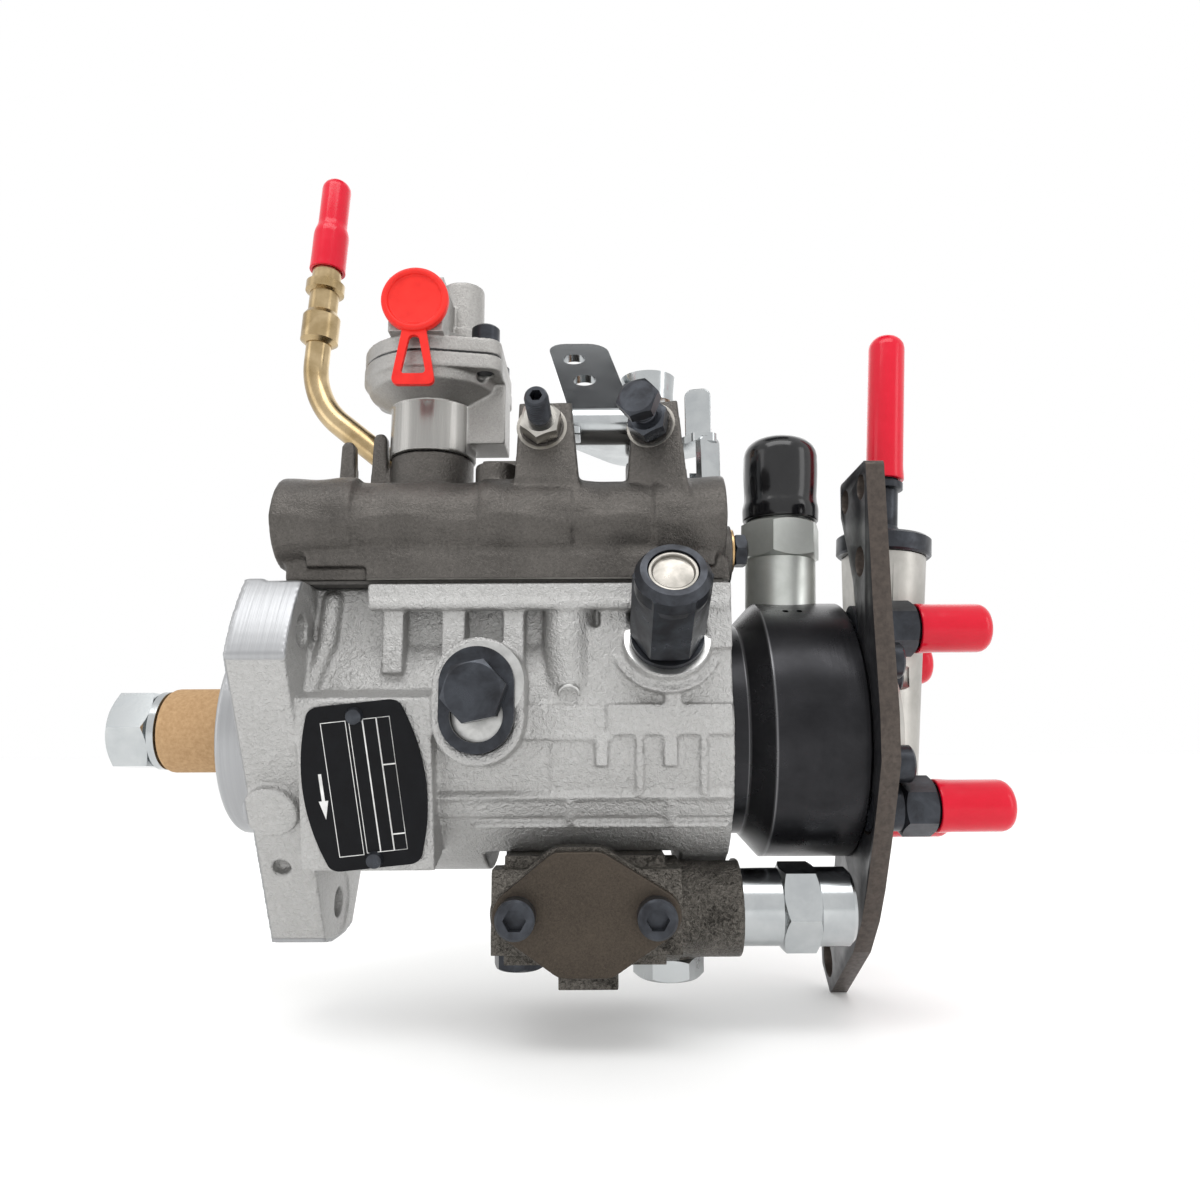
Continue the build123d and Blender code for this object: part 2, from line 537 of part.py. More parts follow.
def make_return_pipe():
    stub = pipe_foot + Vector(0, 0, 18.3)
    rise = (pipe_top - pipe_knee).normalized()
    path = FilletPolyline(pipe_foot, stub, pipe_knee - rise * 10.5, pipe_top, radius=(7.0, pipe_r_bend))
    solid = sweep(Plane(pipe_foot, z_dir=path % 0) * Circle(pipe_r - 0.4), path)
    seat = place_at(pipe_knee, rise, (1, 0, 0))
    solid += turned([(0, 9), (pipe_r, 9), (6.0, 10.2), (6.0, 18.6), (5.0, 20.2), (4.7, 20.4), (4.7, 27),
                     (6.2, 27.6), (6.2, 30.6), (4.7, 31.4), (4.5, 50), (3.9, 58), (0, 58)], seat)
    keep("return_pipe", solid)
    keep("return_pipe_cap", turned([(4.75, 35.2), (5.75, 35.2), (5.7, 48.6), (4.75, 51.2), (4.7, 64.6),
                                    (3.8, 67.4), (0, 68.4), (0, 67), (3.4, 65.8), (3.9, 58.4),
                                    (4.0, 58.2), (4.75, 50.0)], seat))


# ---- throttle ----
lever_z = 86.0
strap_y = -14.0
tab_incline = 49.0


def make_throttle():
    hub = (throttle_x, throttle_y)
    leg = hull_plate([(*hub, 9.0), (84.5, strap_y + 3, 2.6), (98.5, strap_y + 3, 2.6)], level(lever_z), 2.6)
    leg += hull_plate([(*hub, 8.0), (121.0, -3.0, 5.0), (124.2, -10.6, 3.0)], level(lever_z), 2.6)
    leg += block(81.9, 101.1, strap_y, strap_y + 2.6, lever_z, 97.5)
    rise = place_at((91.5, strap_y + 1.6, 96.4), (0, -sin(radians(tab_incline)), cos(radians(tab_incline))))
    sheet = hull_plate([(-8.3, 1.3, 1.3), (8.3, 1.3, 1.3), (-11.5, 38.0, 6.0), (-4.5, 38.0, 6.0)], Plane.XY, 2.6)
    for u, v in ((-4.6, 16.7), (-8.2, 32.0)):
        sheet -= Pos(u, v, 0) * Cylinder(3.7, 10)
    leg += rise * Pos(0, 0, -1.3) * sheet
    leg += block(74.8, 83.0, -19.6, -17.4, 71.5, lever_z + 2.6) + block(74.8, 86, -19.6, -11, lever_z, lever_z + 2.6)
    leg += Pos(122.6, -4.4, 95.5) * Rot(0, 0, -12) * Box(8.2, 2.2, 20)
    stop_y = throttle_y - 16.4
    leg += Pos(throttle_x + 17.0, stop_y, 79.5) * Rot(0, 0, 38) * Box(8, 2.6, 15.6)
    leg -= post(4.0, lever_z - 1, lever_z + 5, *hub)
    keep("throttle_lever", leg)
    shaft = turned([(0, 61), (4, 61), (4, 103), (3.2, 104), (0, 104)], Location((*hub, 0)))
    shaft += turned([(4, 84.2), (6.4, 84.2), (6.4, lever_z), (4, lever_z)], Location((*hub, 0)))
    shaft += turned([(3.0, 104), (8.4, 104), (8.4, 107), (8.9, 112.6), (8.2, 112.6), (7.6, 105.4), (3.0, 105.4)],
                    Location((*hub, 0)))
    shaft += hexagon(10, 105.4, 110.4, Location((*hub, 0)))
    keep("throttle_shaft", shaft)
    keep("throttle_spring", coil(6.3, 0.9, 4, 12.6, Location((*hub, lever_z + 3.6))))
    ring = sector_ring(13.2, 15.4, 66, 80)
    keep("spring_bracket", ring)
    screws, nuts = [], []
    for seat, way, outer, head in ((idle_seat, idle_dir, 16.0, False), (speed_seat, speed_dir, 11.0, True)):
        stand = place_at(seat, way)
        depth = (seat.Y + 20.9) / way.Y * -1
        shank = turned([(0, -abs(depth)), (2.4, -abs(depth)), (3, 0.8 - abs(depth)), (3, outer - 0.6),
                        (2.6, outer), (0, outer)], stand)
        if head:
            shank += hexagon(10, outer, outer + 4.2, stand, 0.7, 8)
        else:
            shank -= stand * Pos(0, 0, outer) * extrude(RegularPolygon(1.7, 6), 4, both=True)
        screws.append(shank)
        nuts.append(hexagon(10, 0.2, 5.4, stand, 0.8, 20) - stand * Cylinder(3.0, 20))
    keep("stop_screws", *screws)
    keep("screw_lock_nuts", *nuts)


def sector_ring(r0, r1, z0, z1):
    """Curved guard wall round the right-hand side of the throttle shaft, with a foot on the roof."""
    wall = post(r1, z0, z1, throttle_x, throttle_y) - post(r0, z0 - 1, z1 + 1, throttle_x, throttle_y)
    wall &= block(throttle_x + 2, throttle_x + 20, throttle_y - 4, throttle_y + 30, z0, z1)
    foot = post(r1, z0, z0 + 2, throttle_x, throttle_y) - post(7.7, z0 - 1, z0 + 3, throttle_x, throttle_y)
    foot &= block(throttle_x + 2, throttle_x + 20, throttle_y - 4, throttle_y + 30, z0, z0 + 2)
    return wall + foot


# ---- drive line, governor and pumping elements ----
arm_pivot = (58.6, 44.0)   # X and Z of the governor arm's hinge
sleeve_face = 54.0
weight_pivot = (32.0, 18.0)
valve_x = 112.0


def make_drive_line():
    shaft = turned([(0, -51), (6.4, -51), (7, -50.4), (7, -37), (8.3, -37), (10.0, -12), (10.0, -5),
                    (shaft_r, -5), (shaft_r, 26), (10, 26), (10, 57), (11.5, 57), (11.5, 62), (0, 62)],
                   Rot(0, 90, 0))
    shaft -= block(59, 63, -3.2, 3.2, -20, 20)
    shaft -= block(-33, -17, -2, 2, 6.4, 12)
    keep("drive_shaft", shaft)
    keep("shaft_key", block(-32.8, -17.2, -1.95, 1.95, 6.4, 11.0))
    nut = hexagon(21.5, 0, 12.6, place_at((-40.2, 0, 0), (-1, 0, 0), (0, 1, 0)), 1.4, 4)
    washer = tube(11.6, -40.2, -38.2) - tube(8.6, -38.3, -37.4)
    keep("shaft_nut", nut + washer - tube(7.0, -60, -30))
    sleeve = turned([(0, -38.2), (11.2, -38.2), (12.2, -37.2), (12.5, -36), (12.5, -13.4), (0, -13.4)],
                    Rot(0, 90, 0))
    sleeve -= tube(11.3, -37.0, -13)
    sleeve -= tube(8.6, -39, -36)
    keep("shaft_sleeve", sleeve)
    keep("shaft_bush", tube(14, -5, 26) - tube(shaft_r + run_gap, -6, 27))
    keep("shaft_seal", tube(16, -12.6, -5) - tube(10.05, -13, -4))


def make_governor():
    cage = tube(22.5, 26.3, 29) - tube(10.0, 26, 30)
    px, pr = weight_pivot
    for side in (1, -1):
        for y0, y1 in ((-9.5, -7.3), (7.3, 9.5)):
            cage += block(28.5, 35, y0, y1, *sorted((side * 13, side * 20.5)))
        cage += rod(1.2, -9.5, 9.5, px, side * pr)
    keep("governor_cage", cage)
    for number, side in ((1, 1), (2, -1)):
        mass = block(33, 43, -6, 6, 16.2, 21.5) + block(30.2, 34, -7, 7, 15.6, 20.4)
        mass += block(32.2, 35.8, -3, 3, 11.8, 16.5)
        mass -= rod(1.26, -12, 12, px, pr)
        keep(f"governor_weight_{number}", mass if side > 0 else Rot(180, 0, 0) * mass)
    keep("thrust_sleeve", turned([(10.05, 36), (13, 36), (13, 50), (15, 50), (15, sleeve_face), (10.05, sleeve_face)],
                                 Rot(0, 90, 0)))
    ax, az = arm_pivot
    arm = rod(2.9, -13, 13, ax, az) + block(57.0, 59.6, -18, 18, 18, az)
    for side in (-1, 1):
        y0, y1 = sorted((side * 14.6, side * 18))
        arm += block(57.0, 59.6, y0, y1, -6, 20)
        y0, y1 = sorted((side * 12.4, side * 18))
        arm += block(54.4, 57.2, y0, y1, -4, 4)
    arm += block(57.4, 59.6, -4, 4, az, 56)
    keep("governor_arm", arm)
    keep("governor_spring", coil(3.6, 0.6, 9, 30, place_at((60.6, 0, 51.5), (1, 0, 0), (0, 1, 0))))
    valve = turned([(0, 11), (4, 11), (4, 24), (3, 24), (3, 50), (0, 50)], Location((valve_x, 0, 0)))
    valve += hull_plate([(valve_x, 0, 3.6), (valve_x - 8, 8, 2.4)], level(50), 2.2)
    keep("metering_valve", valve)


plunger_r = 3.0
roller_r = 3.4
roller_y = 17.6            # with the roller on the crest of a lobe


def make_pumping():
    rotor = turned([(0, 62.2), (10, 62.2), (10, 79), (10.4, 79), (10.4, 97), (rotor_r, 97),
                    (rotor_r, head_end + 1), (6.0, head_end + 1), (6.0, 171.0), (0, 171.0)], Rot(0, 90, 0))
    rotor += block(59.2, 62.4, -3, 3, -9.5, 9.5)
    rotor -= rod(plunger_r + run_gap, -14, 14, cam_x, 0)
    for side in (1, -1):
        y0, y1 = sorted((side * 9.0, side * 18.4))
        for x0, x1 in ((79.2, 81.4), (94.6, 96.8)):
            rotor += block(x0, x1, y0, y1, -4.5, 4.5)
    keep("distributor_rotor", rotor)
    for number, side in ((1, 1), (2, -1)):
        element = rod(plunger_r, 1.6, 11.6, cam_x, 0)
        shoe = block(81.8, 94.2, 11.9, 15.5, -5.4, 5.4) - tube(roller_r + 0.05, 80, 96, roller_y, 0)
        roller = tube(roller_r, 81.8, 94.2, roller_y, 0)
        solids = [s if side > 0 else Rot(180, 0, 0) * s for s in (element, shoe, roller)]
        keep(f"plunger_{number}", *solids)
    ring = tube(cam_r, 80, 96) - tube(24.2, 79, 97)
    for a in (45, 135, 225, 315):
        y, z = polar(24.6, a)
        ring += tube(3.2, 80, 96, y, z) & tube(25, 80, 96)
    ring += turned([(0, -48.6), (2.2, -48.6), (3.7, -46.9), (3.7, -45.1), (2.6, -42.0), (2.6, -25.5), (0, -25.5)],
                   Location((cam_x, 0, 0)))
    keep("cam_ring", ring)
    piston = rod(advance_bore_r - run_gap, -9, 17, cam_x, advance_z)
    piston -= post(4.1, advance_z - 5.0, advance_z + 11, cam_x, 0)
    piston -= rod(8.0, -10, -5.5, cam_x, advance_z)
    keep("advance_piston", piston)
    keep("advance_spring", coil(6.4, 0.8, 6, 29.4, place_at((cam_x, -36.4, advance_z), (0, 1, 0))))


def make_screws():
    screws = [socket_screw(6, 12, place_at((plate_x, y, z), (1, 0, 0), (0, 1, 0))) for y, z in plate_bolts]
    screws += [socket_screw(6, 13, place_at((x, -41.2, -46.7), (0, -1, 0))) for x in advance_screws]
    screws += [socket_screw(6, 14, Location((x, y, 43.5))) for x, y in cover_bolts]
    screws += [socket_screw(5, 17, place_at((173.0, y, z), (1, 0, 0), (0, 1, 0))) for y, z in cover_studs]
    screws += [socket_screw(5, 9, Location((x, y, 112.0))) for x, y in capsule_bolts]
    keep("socket_screws", *screws)


def build():
    make_housing()
    make_gasket()
    make_governor_cover()
    make_plates_and_plugs()
    make_head()
    make_rear_plate()
    make_end_cover()
    make_delivery()
    make_stop_solenoid()
    make_advance_unit()
    make_boost_capsule()
    make_return_pipe()
    make_throttle()
    make_drive_line()
    make_governor()
    make_pumping()
    make_screws()
    for name, shape in model.items():
        export_step(shape, f"parts/{name}.step")


build()
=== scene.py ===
import json
import math

import bmesh
import bpy
from mathutils import Matrix, Vector

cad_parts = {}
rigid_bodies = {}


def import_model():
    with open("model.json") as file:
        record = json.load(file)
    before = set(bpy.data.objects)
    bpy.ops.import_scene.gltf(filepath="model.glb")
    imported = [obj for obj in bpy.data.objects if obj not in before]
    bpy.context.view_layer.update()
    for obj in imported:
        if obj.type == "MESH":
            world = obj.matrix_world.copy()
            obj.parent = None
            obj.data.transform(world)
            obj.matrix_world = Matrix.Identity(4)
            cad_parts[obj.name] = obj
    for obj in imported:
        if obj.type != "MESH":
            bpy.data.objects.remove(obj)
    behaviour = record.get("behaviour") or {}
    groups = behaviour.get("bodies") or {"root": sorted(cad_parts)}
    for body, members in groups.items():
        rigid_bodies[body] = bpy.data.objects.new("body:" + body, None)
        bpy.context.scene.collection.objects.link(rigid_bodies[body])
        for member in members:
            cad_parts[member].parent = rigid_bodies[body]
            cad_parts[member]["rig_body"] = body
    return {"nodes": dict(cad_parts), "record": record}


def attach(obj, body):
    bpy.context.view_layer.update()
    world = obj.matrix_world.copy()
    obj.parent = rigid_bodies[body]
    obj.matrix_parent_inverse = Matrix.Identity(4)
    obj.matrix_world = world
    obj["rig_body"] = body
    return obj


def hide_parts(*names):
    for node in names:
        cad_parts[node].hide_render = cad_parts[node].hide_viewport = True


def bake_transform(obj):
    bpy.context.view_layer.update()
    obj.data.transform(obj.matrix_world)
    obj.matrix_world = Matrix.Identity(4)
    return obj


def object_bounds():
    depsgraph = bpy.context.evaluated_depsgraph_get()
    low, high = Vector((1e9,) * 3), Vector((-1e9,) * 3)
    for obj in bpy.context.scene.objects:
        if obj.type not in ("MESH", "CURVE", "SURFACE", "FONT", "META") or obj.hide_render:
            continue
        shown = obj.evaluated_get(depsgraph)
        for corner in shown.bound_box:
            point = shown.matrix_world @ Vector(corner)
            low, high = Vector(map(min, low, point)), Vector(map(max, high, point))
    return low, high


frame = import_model()
nodes = frame["nodes"]
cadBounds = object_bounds()
mm = 0.001
weld = 1e-6  # metres: points closer than this are one
rearwards = Vector((1, 0, 0))
print("frame loaded,", len(nodes), "nodes")


# studio
studio = {
    "lens": 26.8, "camera": (0.0915, -0.2728, -0.0034), "rise": 8.9, "roll": 0.3, "clipStart": 0.01,
    "floorSize": 8.0, "floorColor": (0.9, 0.9, 0.895, 1), "floorGlow": 0.12, "floorRoughness": 0.6,
    "sky": (1, 1, 1, 1), "skyStrength": 1.0,
    "cardColor": (0.04, 0.04, 0.045, 1), "cardRoughness": 0.9,
    "cards": [  # one dark card overhead, seen only in reflections: place, aim, size
        ((0.1, 0.1, 0.95), (0.1, 0.05, 0.0), (0.6, 0.36))],
    "lights": [  # place, aim, size, watts
        ((0.02, -0.42, 0.75), (0.08, 0.0, 0.02), (0.9, 0.35), 3.2),
        ((-0.65, -0.25, 0.12), (0.05, 0.0, 0.0), (0.3, 0.8), 0.8),
        ((0.75, -0.35, 0.15), (0.12, 0.0, 0.02), (0.2, 0.6), 0.7),
        ((0.15, 0.55, 0.5), (0.08, 0.0, 0.03), (0.8, 0.5), 0.8)],
}


def aimed(obj, place, target):
    obj.location = place
    obj.rotation_euler = (Vector(target) - Vector(place)).to_track_quat("-Z", "Y").to_euler()


def turnAbout(degrees, axis):
    return Matrix.Rotation(math.radians(degrees), 4, axis)


def makeStudio():
    scene = bpy.context.scene
    camera = bpy.data.objects.new("camera", bpy.data.cameras.new("camera"))
    camera.data.lens = studio["lens"]
    camera.data.clip_start = studio["clipStart"]
    camera.location = studio["camera"]
    camera.rotation_euler = (turnAbout(90 + studio["rise"], "X") @ turnAbout(-studio["roll"], "Z")).to_euler()
    scene.collection.objects.link(camera)
    scene.camera = camera
    for count, (place, target, size, watts) in enumerate(studio["lights"]):
        lamp = bpy.data.lights.new("softbox%d" % count, "AREA")
        lamp.shape = "RECTANGLE"
        lamp.size, lamp.size_y = size
        lamp.energy = watts
        box = bpy.data.objects.new(lamp.name, lamp)
        scene.collection.objects.link(box)
        aimed(box, place, target)
    world = bpy.data.worlds.new("sky")
    world.use_nodes = True
    background = world.node_tree.nodes["Background"]
    background.inputs["Color"].default_value = studio["sky"]
    background.inputs["Strength"].default_value = studio["skyStrength"]
    scene.world = world
    scene.view_settings.view_transform = "Standard"
    makeFloor()
    makeCards()
    print("studio ready")


def makeFloor():
    bm = bmesh.new()
    bmesh.ops.create_grid(bm, x_segments=1, y_segments=1, size=studio["floorSize"] / 2)
    bm.transform(Matrix.Translation((0, 0, cadBounds[0][2])))
    floor = meshPiece("floor", bm)
    mat, _, shader = newMaterial("paleSheet", 0.0, studio["floorRoughness"])
    shader.inputs["Base Color"].default_value = studio["floorColor"]
    shader.inputs["Emission Color"].default_value = studio["floorColor"]
    shader.inputs["Emission Strength"].default_value = studio["floorGlow"]
    floor.data.materials.append(mat)


def makeCards():
    mat, _, shader = newMaterial("darkCloth", 0.0, studio["cardRoughness"])
    shader.inputs["Base Color"].default_value = studio["cardColor"]
    for count, (place, target, size) in enumerate(studio["cards"]):
        bm = bmesh.new()
        bmesh.ops.create_grid(bm, x_segments=1, y_segments=1, size=0.5)
        bmesh.ops.scale(bm, vec=(*size, 1), verts=bm.verts)
        facing = (Vector(target) - Vector(place)).to_track_quat("Z", "Y").to_matrix().to_4x4()
        bm.transform(Matrix.Translation(place) @ facing)
        card = meshPiece("darkCard%d" % count, bm)
        card.data.materials.append(mat)
        card.visible_camera = False
        card.visible_shadow = False
        card.visible_diffuse = False


# node helpers
def newMaterial(name, metallic, roughness):
    mat = bpy.data.materials.new(name)
    mat.use_nodes = True
    shader = mat.node_tree.nodes["Principled BSDF"]
    shader.inputs["Metallic"].default_value = metallic
    shader.inputs["Roughness"].default_value = roughness
    return mat, mat.node_tree, shader


def addNode(tree, kind, sockets=None, **settings):
    node = tree.nodes.new("ShaderNode" + kind)
    for key, value in settings.items():
        setattr(node, key, value)
    for key, value in (sockets or {}).items():
        if isinstance(value, bpy.types.NodeSocket):
            tree.links.new(value, node.inputs[key])
        else:
            node.inputs[key].default_value = value
    return node


def objectPoint(tree, scale=None):
    point = addNode(tree, "TexCoord").outputs["Object"]
    if scale:
        mapping = addNode(tree, "Mapping", {"Vector": point, "Scale": scale}, vector_type="POINT")
        point = mapping.outputs["Vector"]
    return point


def noiseOf(tree, point, scale, detail=3.0, rough=0.55, twist=0.0):
    sockets = {"Vector": point, "Scale": scale, "Detail": detail, "Roughness": rough, "Distortion": twist}
    return addNode(tree, "TexNoise", sockets).outputs["Fac"]


def calc(tree, job, a, b=0.0):
    return addNode(tree, "Math", {0: a, 1: b}, operation=job).outputs[0]


def weighted(tree, *shares):
    # the sum of some values, each times its weight
    parts = [calc(tree, "MULTIPLY", value, weight) for value, weight in shares]
    total = parts[0]
    for part in parts[1:]:
        total = calc(tree, "ADD", total, part)
    return total


def remap(tree, value, low, high, outLow=0.0, outHigh=1.0):
    sockets = {"Value": value, "From Min": low, "From Max": high, "To Min": outLow, "To Max": outHigh}
    return addNode(tree, "MapRange", sockets).outputs["Result"]


def blendColors(tree, factor, first, second):
    sockets = {"Factor": factor, 6: first, 7: second}  # 6 and 7 are the two colours
    return addNode(tree, "Mix", sockets, data_type="RGBA").outputs[2]


def bumped(tree, height, strength, depth):
    sockets = {"Height": height, "Strength": strength, "Distance": depth}
    return addNode(tree, "Bump", sockets).outputs["Normal"]


def rgb(red, green, blue):
    return (red, green, blue, 1)


# mesh helpers
def meshPiece(name, bm):
    mesh = bpy.data.meshes.new(name)
    bm.to_mesh(mesh)
    bm.free()
    piece = bpy.data.objects.new(name, mesh)
    bpy.context.scene.collection.objects.link(piece)
    return piece


def smoothed(piece, angle):
    mesh = piece.data
    mesh.shade_smooth()
    mesh.set_sharp_from_angle(angle=math.radians(angle))


def weldedNode(name):
    bm = bmesh.new()
    bm.from_mesh(nodes[name].data)
    bmesh.ops.remove_doubles(bm, verts=bm.verts, dist=weld)
    return bm


def roundCorners(bm, geom, width, affect="VERTICES"):
    bmesh.ops.bevel(bm, geom=geom, offset=width * mm, offset_type="OFFSET", segments=5, profile=0.5,
                    affect=affect, material=-1)


def cutAt(bm, place, normal):
    bmesh.ops.bisect_plane(bm, geom=bm.verts[:] + bm.edges[:] + bm.faces[:], plane_co=place, plane_no=normal)


def frameAt(origin, direction, side=(1, 0, 0)):
    z = Vector(direction).normalized()
    x = (Vector(side) - z * Vector(side).dot(z)).normalized()
    turn = Matrix((x, z.cross(x), z)).transposed().to_4x4()
    return Matrix.Translation(Vector(origin) * mm) @ turn


def turnedPiece(name, corners, place, material, body, steps=72, replace=()):
    # corners: radius, height and rounding, in millimetres
    bm = bmesh.new()
    verts = [bm.verts.new((r * mm, 0, h * mm)) for r, h, _ in corners]
    for pair in zip(verts, verts[1:]):
        bm.edges.new(pair)
    for vert, (_, _, rounding) in zip(verts, corners):
        if rounding:
            roundCorners(bm, [vert], rounding)
    bmesh.ops.spin(bm, geom=bm.verts[:] + bm.edges[:], cent=(0, 0, 0), axis=(0, 0, 1), angle=math.tau,
                   steps=steps, use_merge=True)
    bmesh.ops.remove_doubles(bm, verts=bm.verts, dist=weld)
    bmesh.ops.recalc_face_normals(bm, faces=bm.faces)
    bm.transform(place)
    piece = meshPiece(name, bm)
    smoothed(piece, 40)
    return finished(piece, material, body, replace)


def finished(piece, material, body, replace=()):
    piece.data.materials.clear()
    piece.data.materials.append(material)
    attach(piece, body)
    if replace:
        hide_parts(*replace)
    return piece


slotOf = {entry["node"]: entry["material_slot"] for entry in frame["record"]["subparts"]}


# castings: the frame's solids, fused, with the soft edges that a mould gives
castings = {
    "housingCasting": {
        "skin": "blastedAluminium", "node": "pump_housing", "voxel": 0.62, "rounds": 2, "keep": 0.37,
        "relief": True},
    "governorCasting": {
        "skin": "darkAluminium", "node": "governor_cover", "voxel": 0.6, "rounds": 4, "keep": 0.45,
        "wavy": True},
    "boostNeck": {
        "skin": "capsuleAluminium", "node": "boost_body", "voxel": 0.4, "rounds": 3, "keep": 1.0},
    "boostLid": {
        "skin": "capsuleAluminium", "node": "boost_cover", "voxel": 0.4, "rounds": 3, "keep": 1.0},
    "advanceCasting": {
        "skin": "oiledIron", "node": "advance_housing", "voxel": 0.5, "rounds": 4, "keep": 0.6},
    "advanceLid": {
        "skin": "oiledLid", "node": "advance_cover", "voxel": 0.42, "rounds": 3, "keep": 1.0},
}
reliefs = [  # low ribs and steps of the mould: centre, size, turn about X
    ((109.4, -39.2, 1.7), (32.2, 6.0, 7.8), 0.0), ((70.5, -39.4, -2.7), (49.0, 4.6, 1.1), 0.0),
    ((86.0, -35.9, -17.1), (78.0, 5.4, 1.2), 25.0), ((91.5, -31.6, -24.1), (67.0, 5.4, 1.2), 36.0),
    ((101.4, -38.4, -9.9), (1.9, 5.0, 14.0), 14.0), ((118.0, -38.4, -9.9), (1.9, 5.0, 14.0), 14.0),
    ((83.3, -34.0, -20.9), (1.8, 5.0, 8.0), 31.0), ((109.5, -34.0, -20.9), (1.8, 5.0, 8.0), 31.0),
    ((78.0, -40.2, 31.6), (95.0, 3.8, 2.2), 0.0)]
waves = {  # millimetres along and round the front tube, turns in radians
    "axisY": -33.5, "axisZ": 55.2, "radius": 12.1, "reach": 1.7, "fadeOut": 3.0, "height": 0.42,
    "long": 21.0, "longTwist": 1.6, "longShare": 0.6, "short": 12.5, "shortTwist": 2.4, "shortShare": 0.4,
    "crease": 0.5, "creaseTurn": 0.12, "creaseSway": 0.1, "creaseLength": 30.0, "creaseWidth": 0.22,
}


def makeWavy(mesh):
    # the mould's joint and the fettling leave the front tube of the governor cover uneven
    look = waves
    for vert in mesh.vertices:
        x, y, z = vert.co / mm
        across = Vector((y - look["axisY"], z - look["axisZ"]))
        near = 1 - abs(across.length - look["radius"]) / look["reach"]
        if near <= 0 or across.x > look["fadeOut"]:
            continue
        turn = math.atan2(across.y, -across.x)
        longWave = math.sin(math.tau * x / look["long"] + look["longTwist"] * math.sin(2 * turn))
        shortWave = math.sin(math.tau * x / look["short"] + look["shortTwist"] * turn)
        swell = longWave * look["longShare"] + shortWave * look["shortShare"]
        sway = look["creaseSway"] * math.sin(math.tau * x / look["creaseLength"])
        crease = look["crease"] * max(0.0, 1 - abs(turn + look["creaseTurn"] - sway) / look["creaseWidth"])
        inboard = min(1.0, max(0.0, (look["fadeOut"] - across.x) / look["fadeOut"]))
        fade = min(1.0, near * 2) * inboard
        shift = across.normalized() * (swell * look["height"] - look["height"] + crease) * fade * mm
        vert.co += Vector((0, shift.x, shift.y))


def castFrom(name, settings, material):
    bm = weldedNode(settings["node"])
    for centre, size, turn in reliefs if settings.get("relief") else ():
        place = Matrix.Translation(Vector(centre) * mm) @ turnAbout(turn, "X")
        bmesh.ops.create_cube(bm, size=1.0, matrix=place @ Matrix.Diagonal((*(Vector(size) * mm), 1)))
    rough = meshPiece(name + "Rough", bm)
    remesh = rough.modifiers.new("Remesh", "REMESH")
    remesh.mode = "VOXEL"
    remesh.voxel_size = settings["voxel"] * mm
    soften = rough.modifiers.new("Smooth", "SMOOTH")
    soften.factor = 0.5
    soften.iterations = settings["rounds"]
    if settings["keep"] < 1:
        thin = rough.modifiers.new("Decimate", "DECIMATE")
        thin.ratio = settings["keep"]
    graph = bpy.context.evaluated_depsgraph_get()
    mesh = bpy.data.meshes.new_from_object(rough.evaluated_get(graph))
    mesh.name = name
    bpy.data.objects.remove(rough)
    piece = bpy.data.objects.new(name, mesh)
    bpy.context.scene.collection.objects.link(piece)
    if settings.get("wavy"):
        makeWavy(mesh)
    mesh.shade_smooth()
    print(name, sum(len(f.vertices) - 2 for f in mesh.polygons), "triangles")
    return finished(piece, material, nodes[settings["node"]]["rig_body"], (settings["node"],))


skinMix = {
    "grainScale": 3.2, "tone": (0.35, 0.3, 0.35),  # shares of peel, grain and blotch
    "toneSpread": (0.38, 0.62), "blotchSpread": (0.3, 0.7), "roughSwing": 0.06,
    "grainHeight": 0.45, "toolHeight": 0.25,
}


def castSkin(name, look):
    mat, tree, shader = newMaterial(name, look["metallic"], look["roughness"])
    point = objectPoint(tree)
    peel = noiseOf(tree, point, look["peel"], 2.0, 0.5, 0.8)
    grain = noiseOf(tree, point, look["peel"] * skinMix["grainScale"], 2.0, 0.6)
    blotch = noiseOf(tree, point, look["blotch"], 4.0, 0.6)
    tone = weighted(tree, *zip((peel, grain, blotch), skinMix["tone"]))
    color = blendColors(tree, remap(tree, tone, *skinMix["toneSpread"]), look["dark"], look["light"])
    smoothest, roughest = look["roughness"] - skinMix["roughSwing"], look["roughness"] + skinMix["roughSwing"]
    rough = remap(tree, blotch, *skinMix["blotchSpread"], smoothest, roughest)
    height = calc(tree, "ADD", peel, calc(tree, "MULTIPLY", grain, skinMix["grainHeight"]))
    if look.get("cut"):
        axes = addNode(tree, "SeparateXYZ", {"Vector": point}).outputs
        bare = look["cut"](tree, axes)
        lines = noiseOf(tree, objectPoint(tree, scale=(1, 0.02, 0.02)), look["toolLines"], 3.0, 0.7)
        color = blendColors(tree, bare, color, blendColors(tree, lines, look["cutDark"], look["cutLight"]))
        rough = addNode(tree, "Mix", {"Factor": bare, "A": rough, "B": look["cutRoughness"]}).outputs[0]
        toolMarks = calc(tree, "MULTIPLY", lines, skinMix["toolHeight"])
        height = addNode(tree, "Mix", {"Factor": bare, "A": height, "B": toolMarks}).outputs[0]
    tree.links.new(color, shader.inputs["Base Color"])
    tree.links.new(rough, shader.inputs["Roughness"])
    tree.links.new(bumped(tree, height, look["bump"], look["depth"] * mm), shader.inputs["Normal"])
    mat["recordSlot"] = look["slot"]
    return mat


cuts = {  # metres: where each machined stretch fades out and in
    "front": (0.0007, 0.0003), "rimRadius": (0.0588, 0.0592), "rimBack": (0.0153, 0.0149),
    "lipTop": (0.0389, 0.0386), "neckTop": (0.0962, 0.0957), "neckBack": (0.0524, 0.052),
}


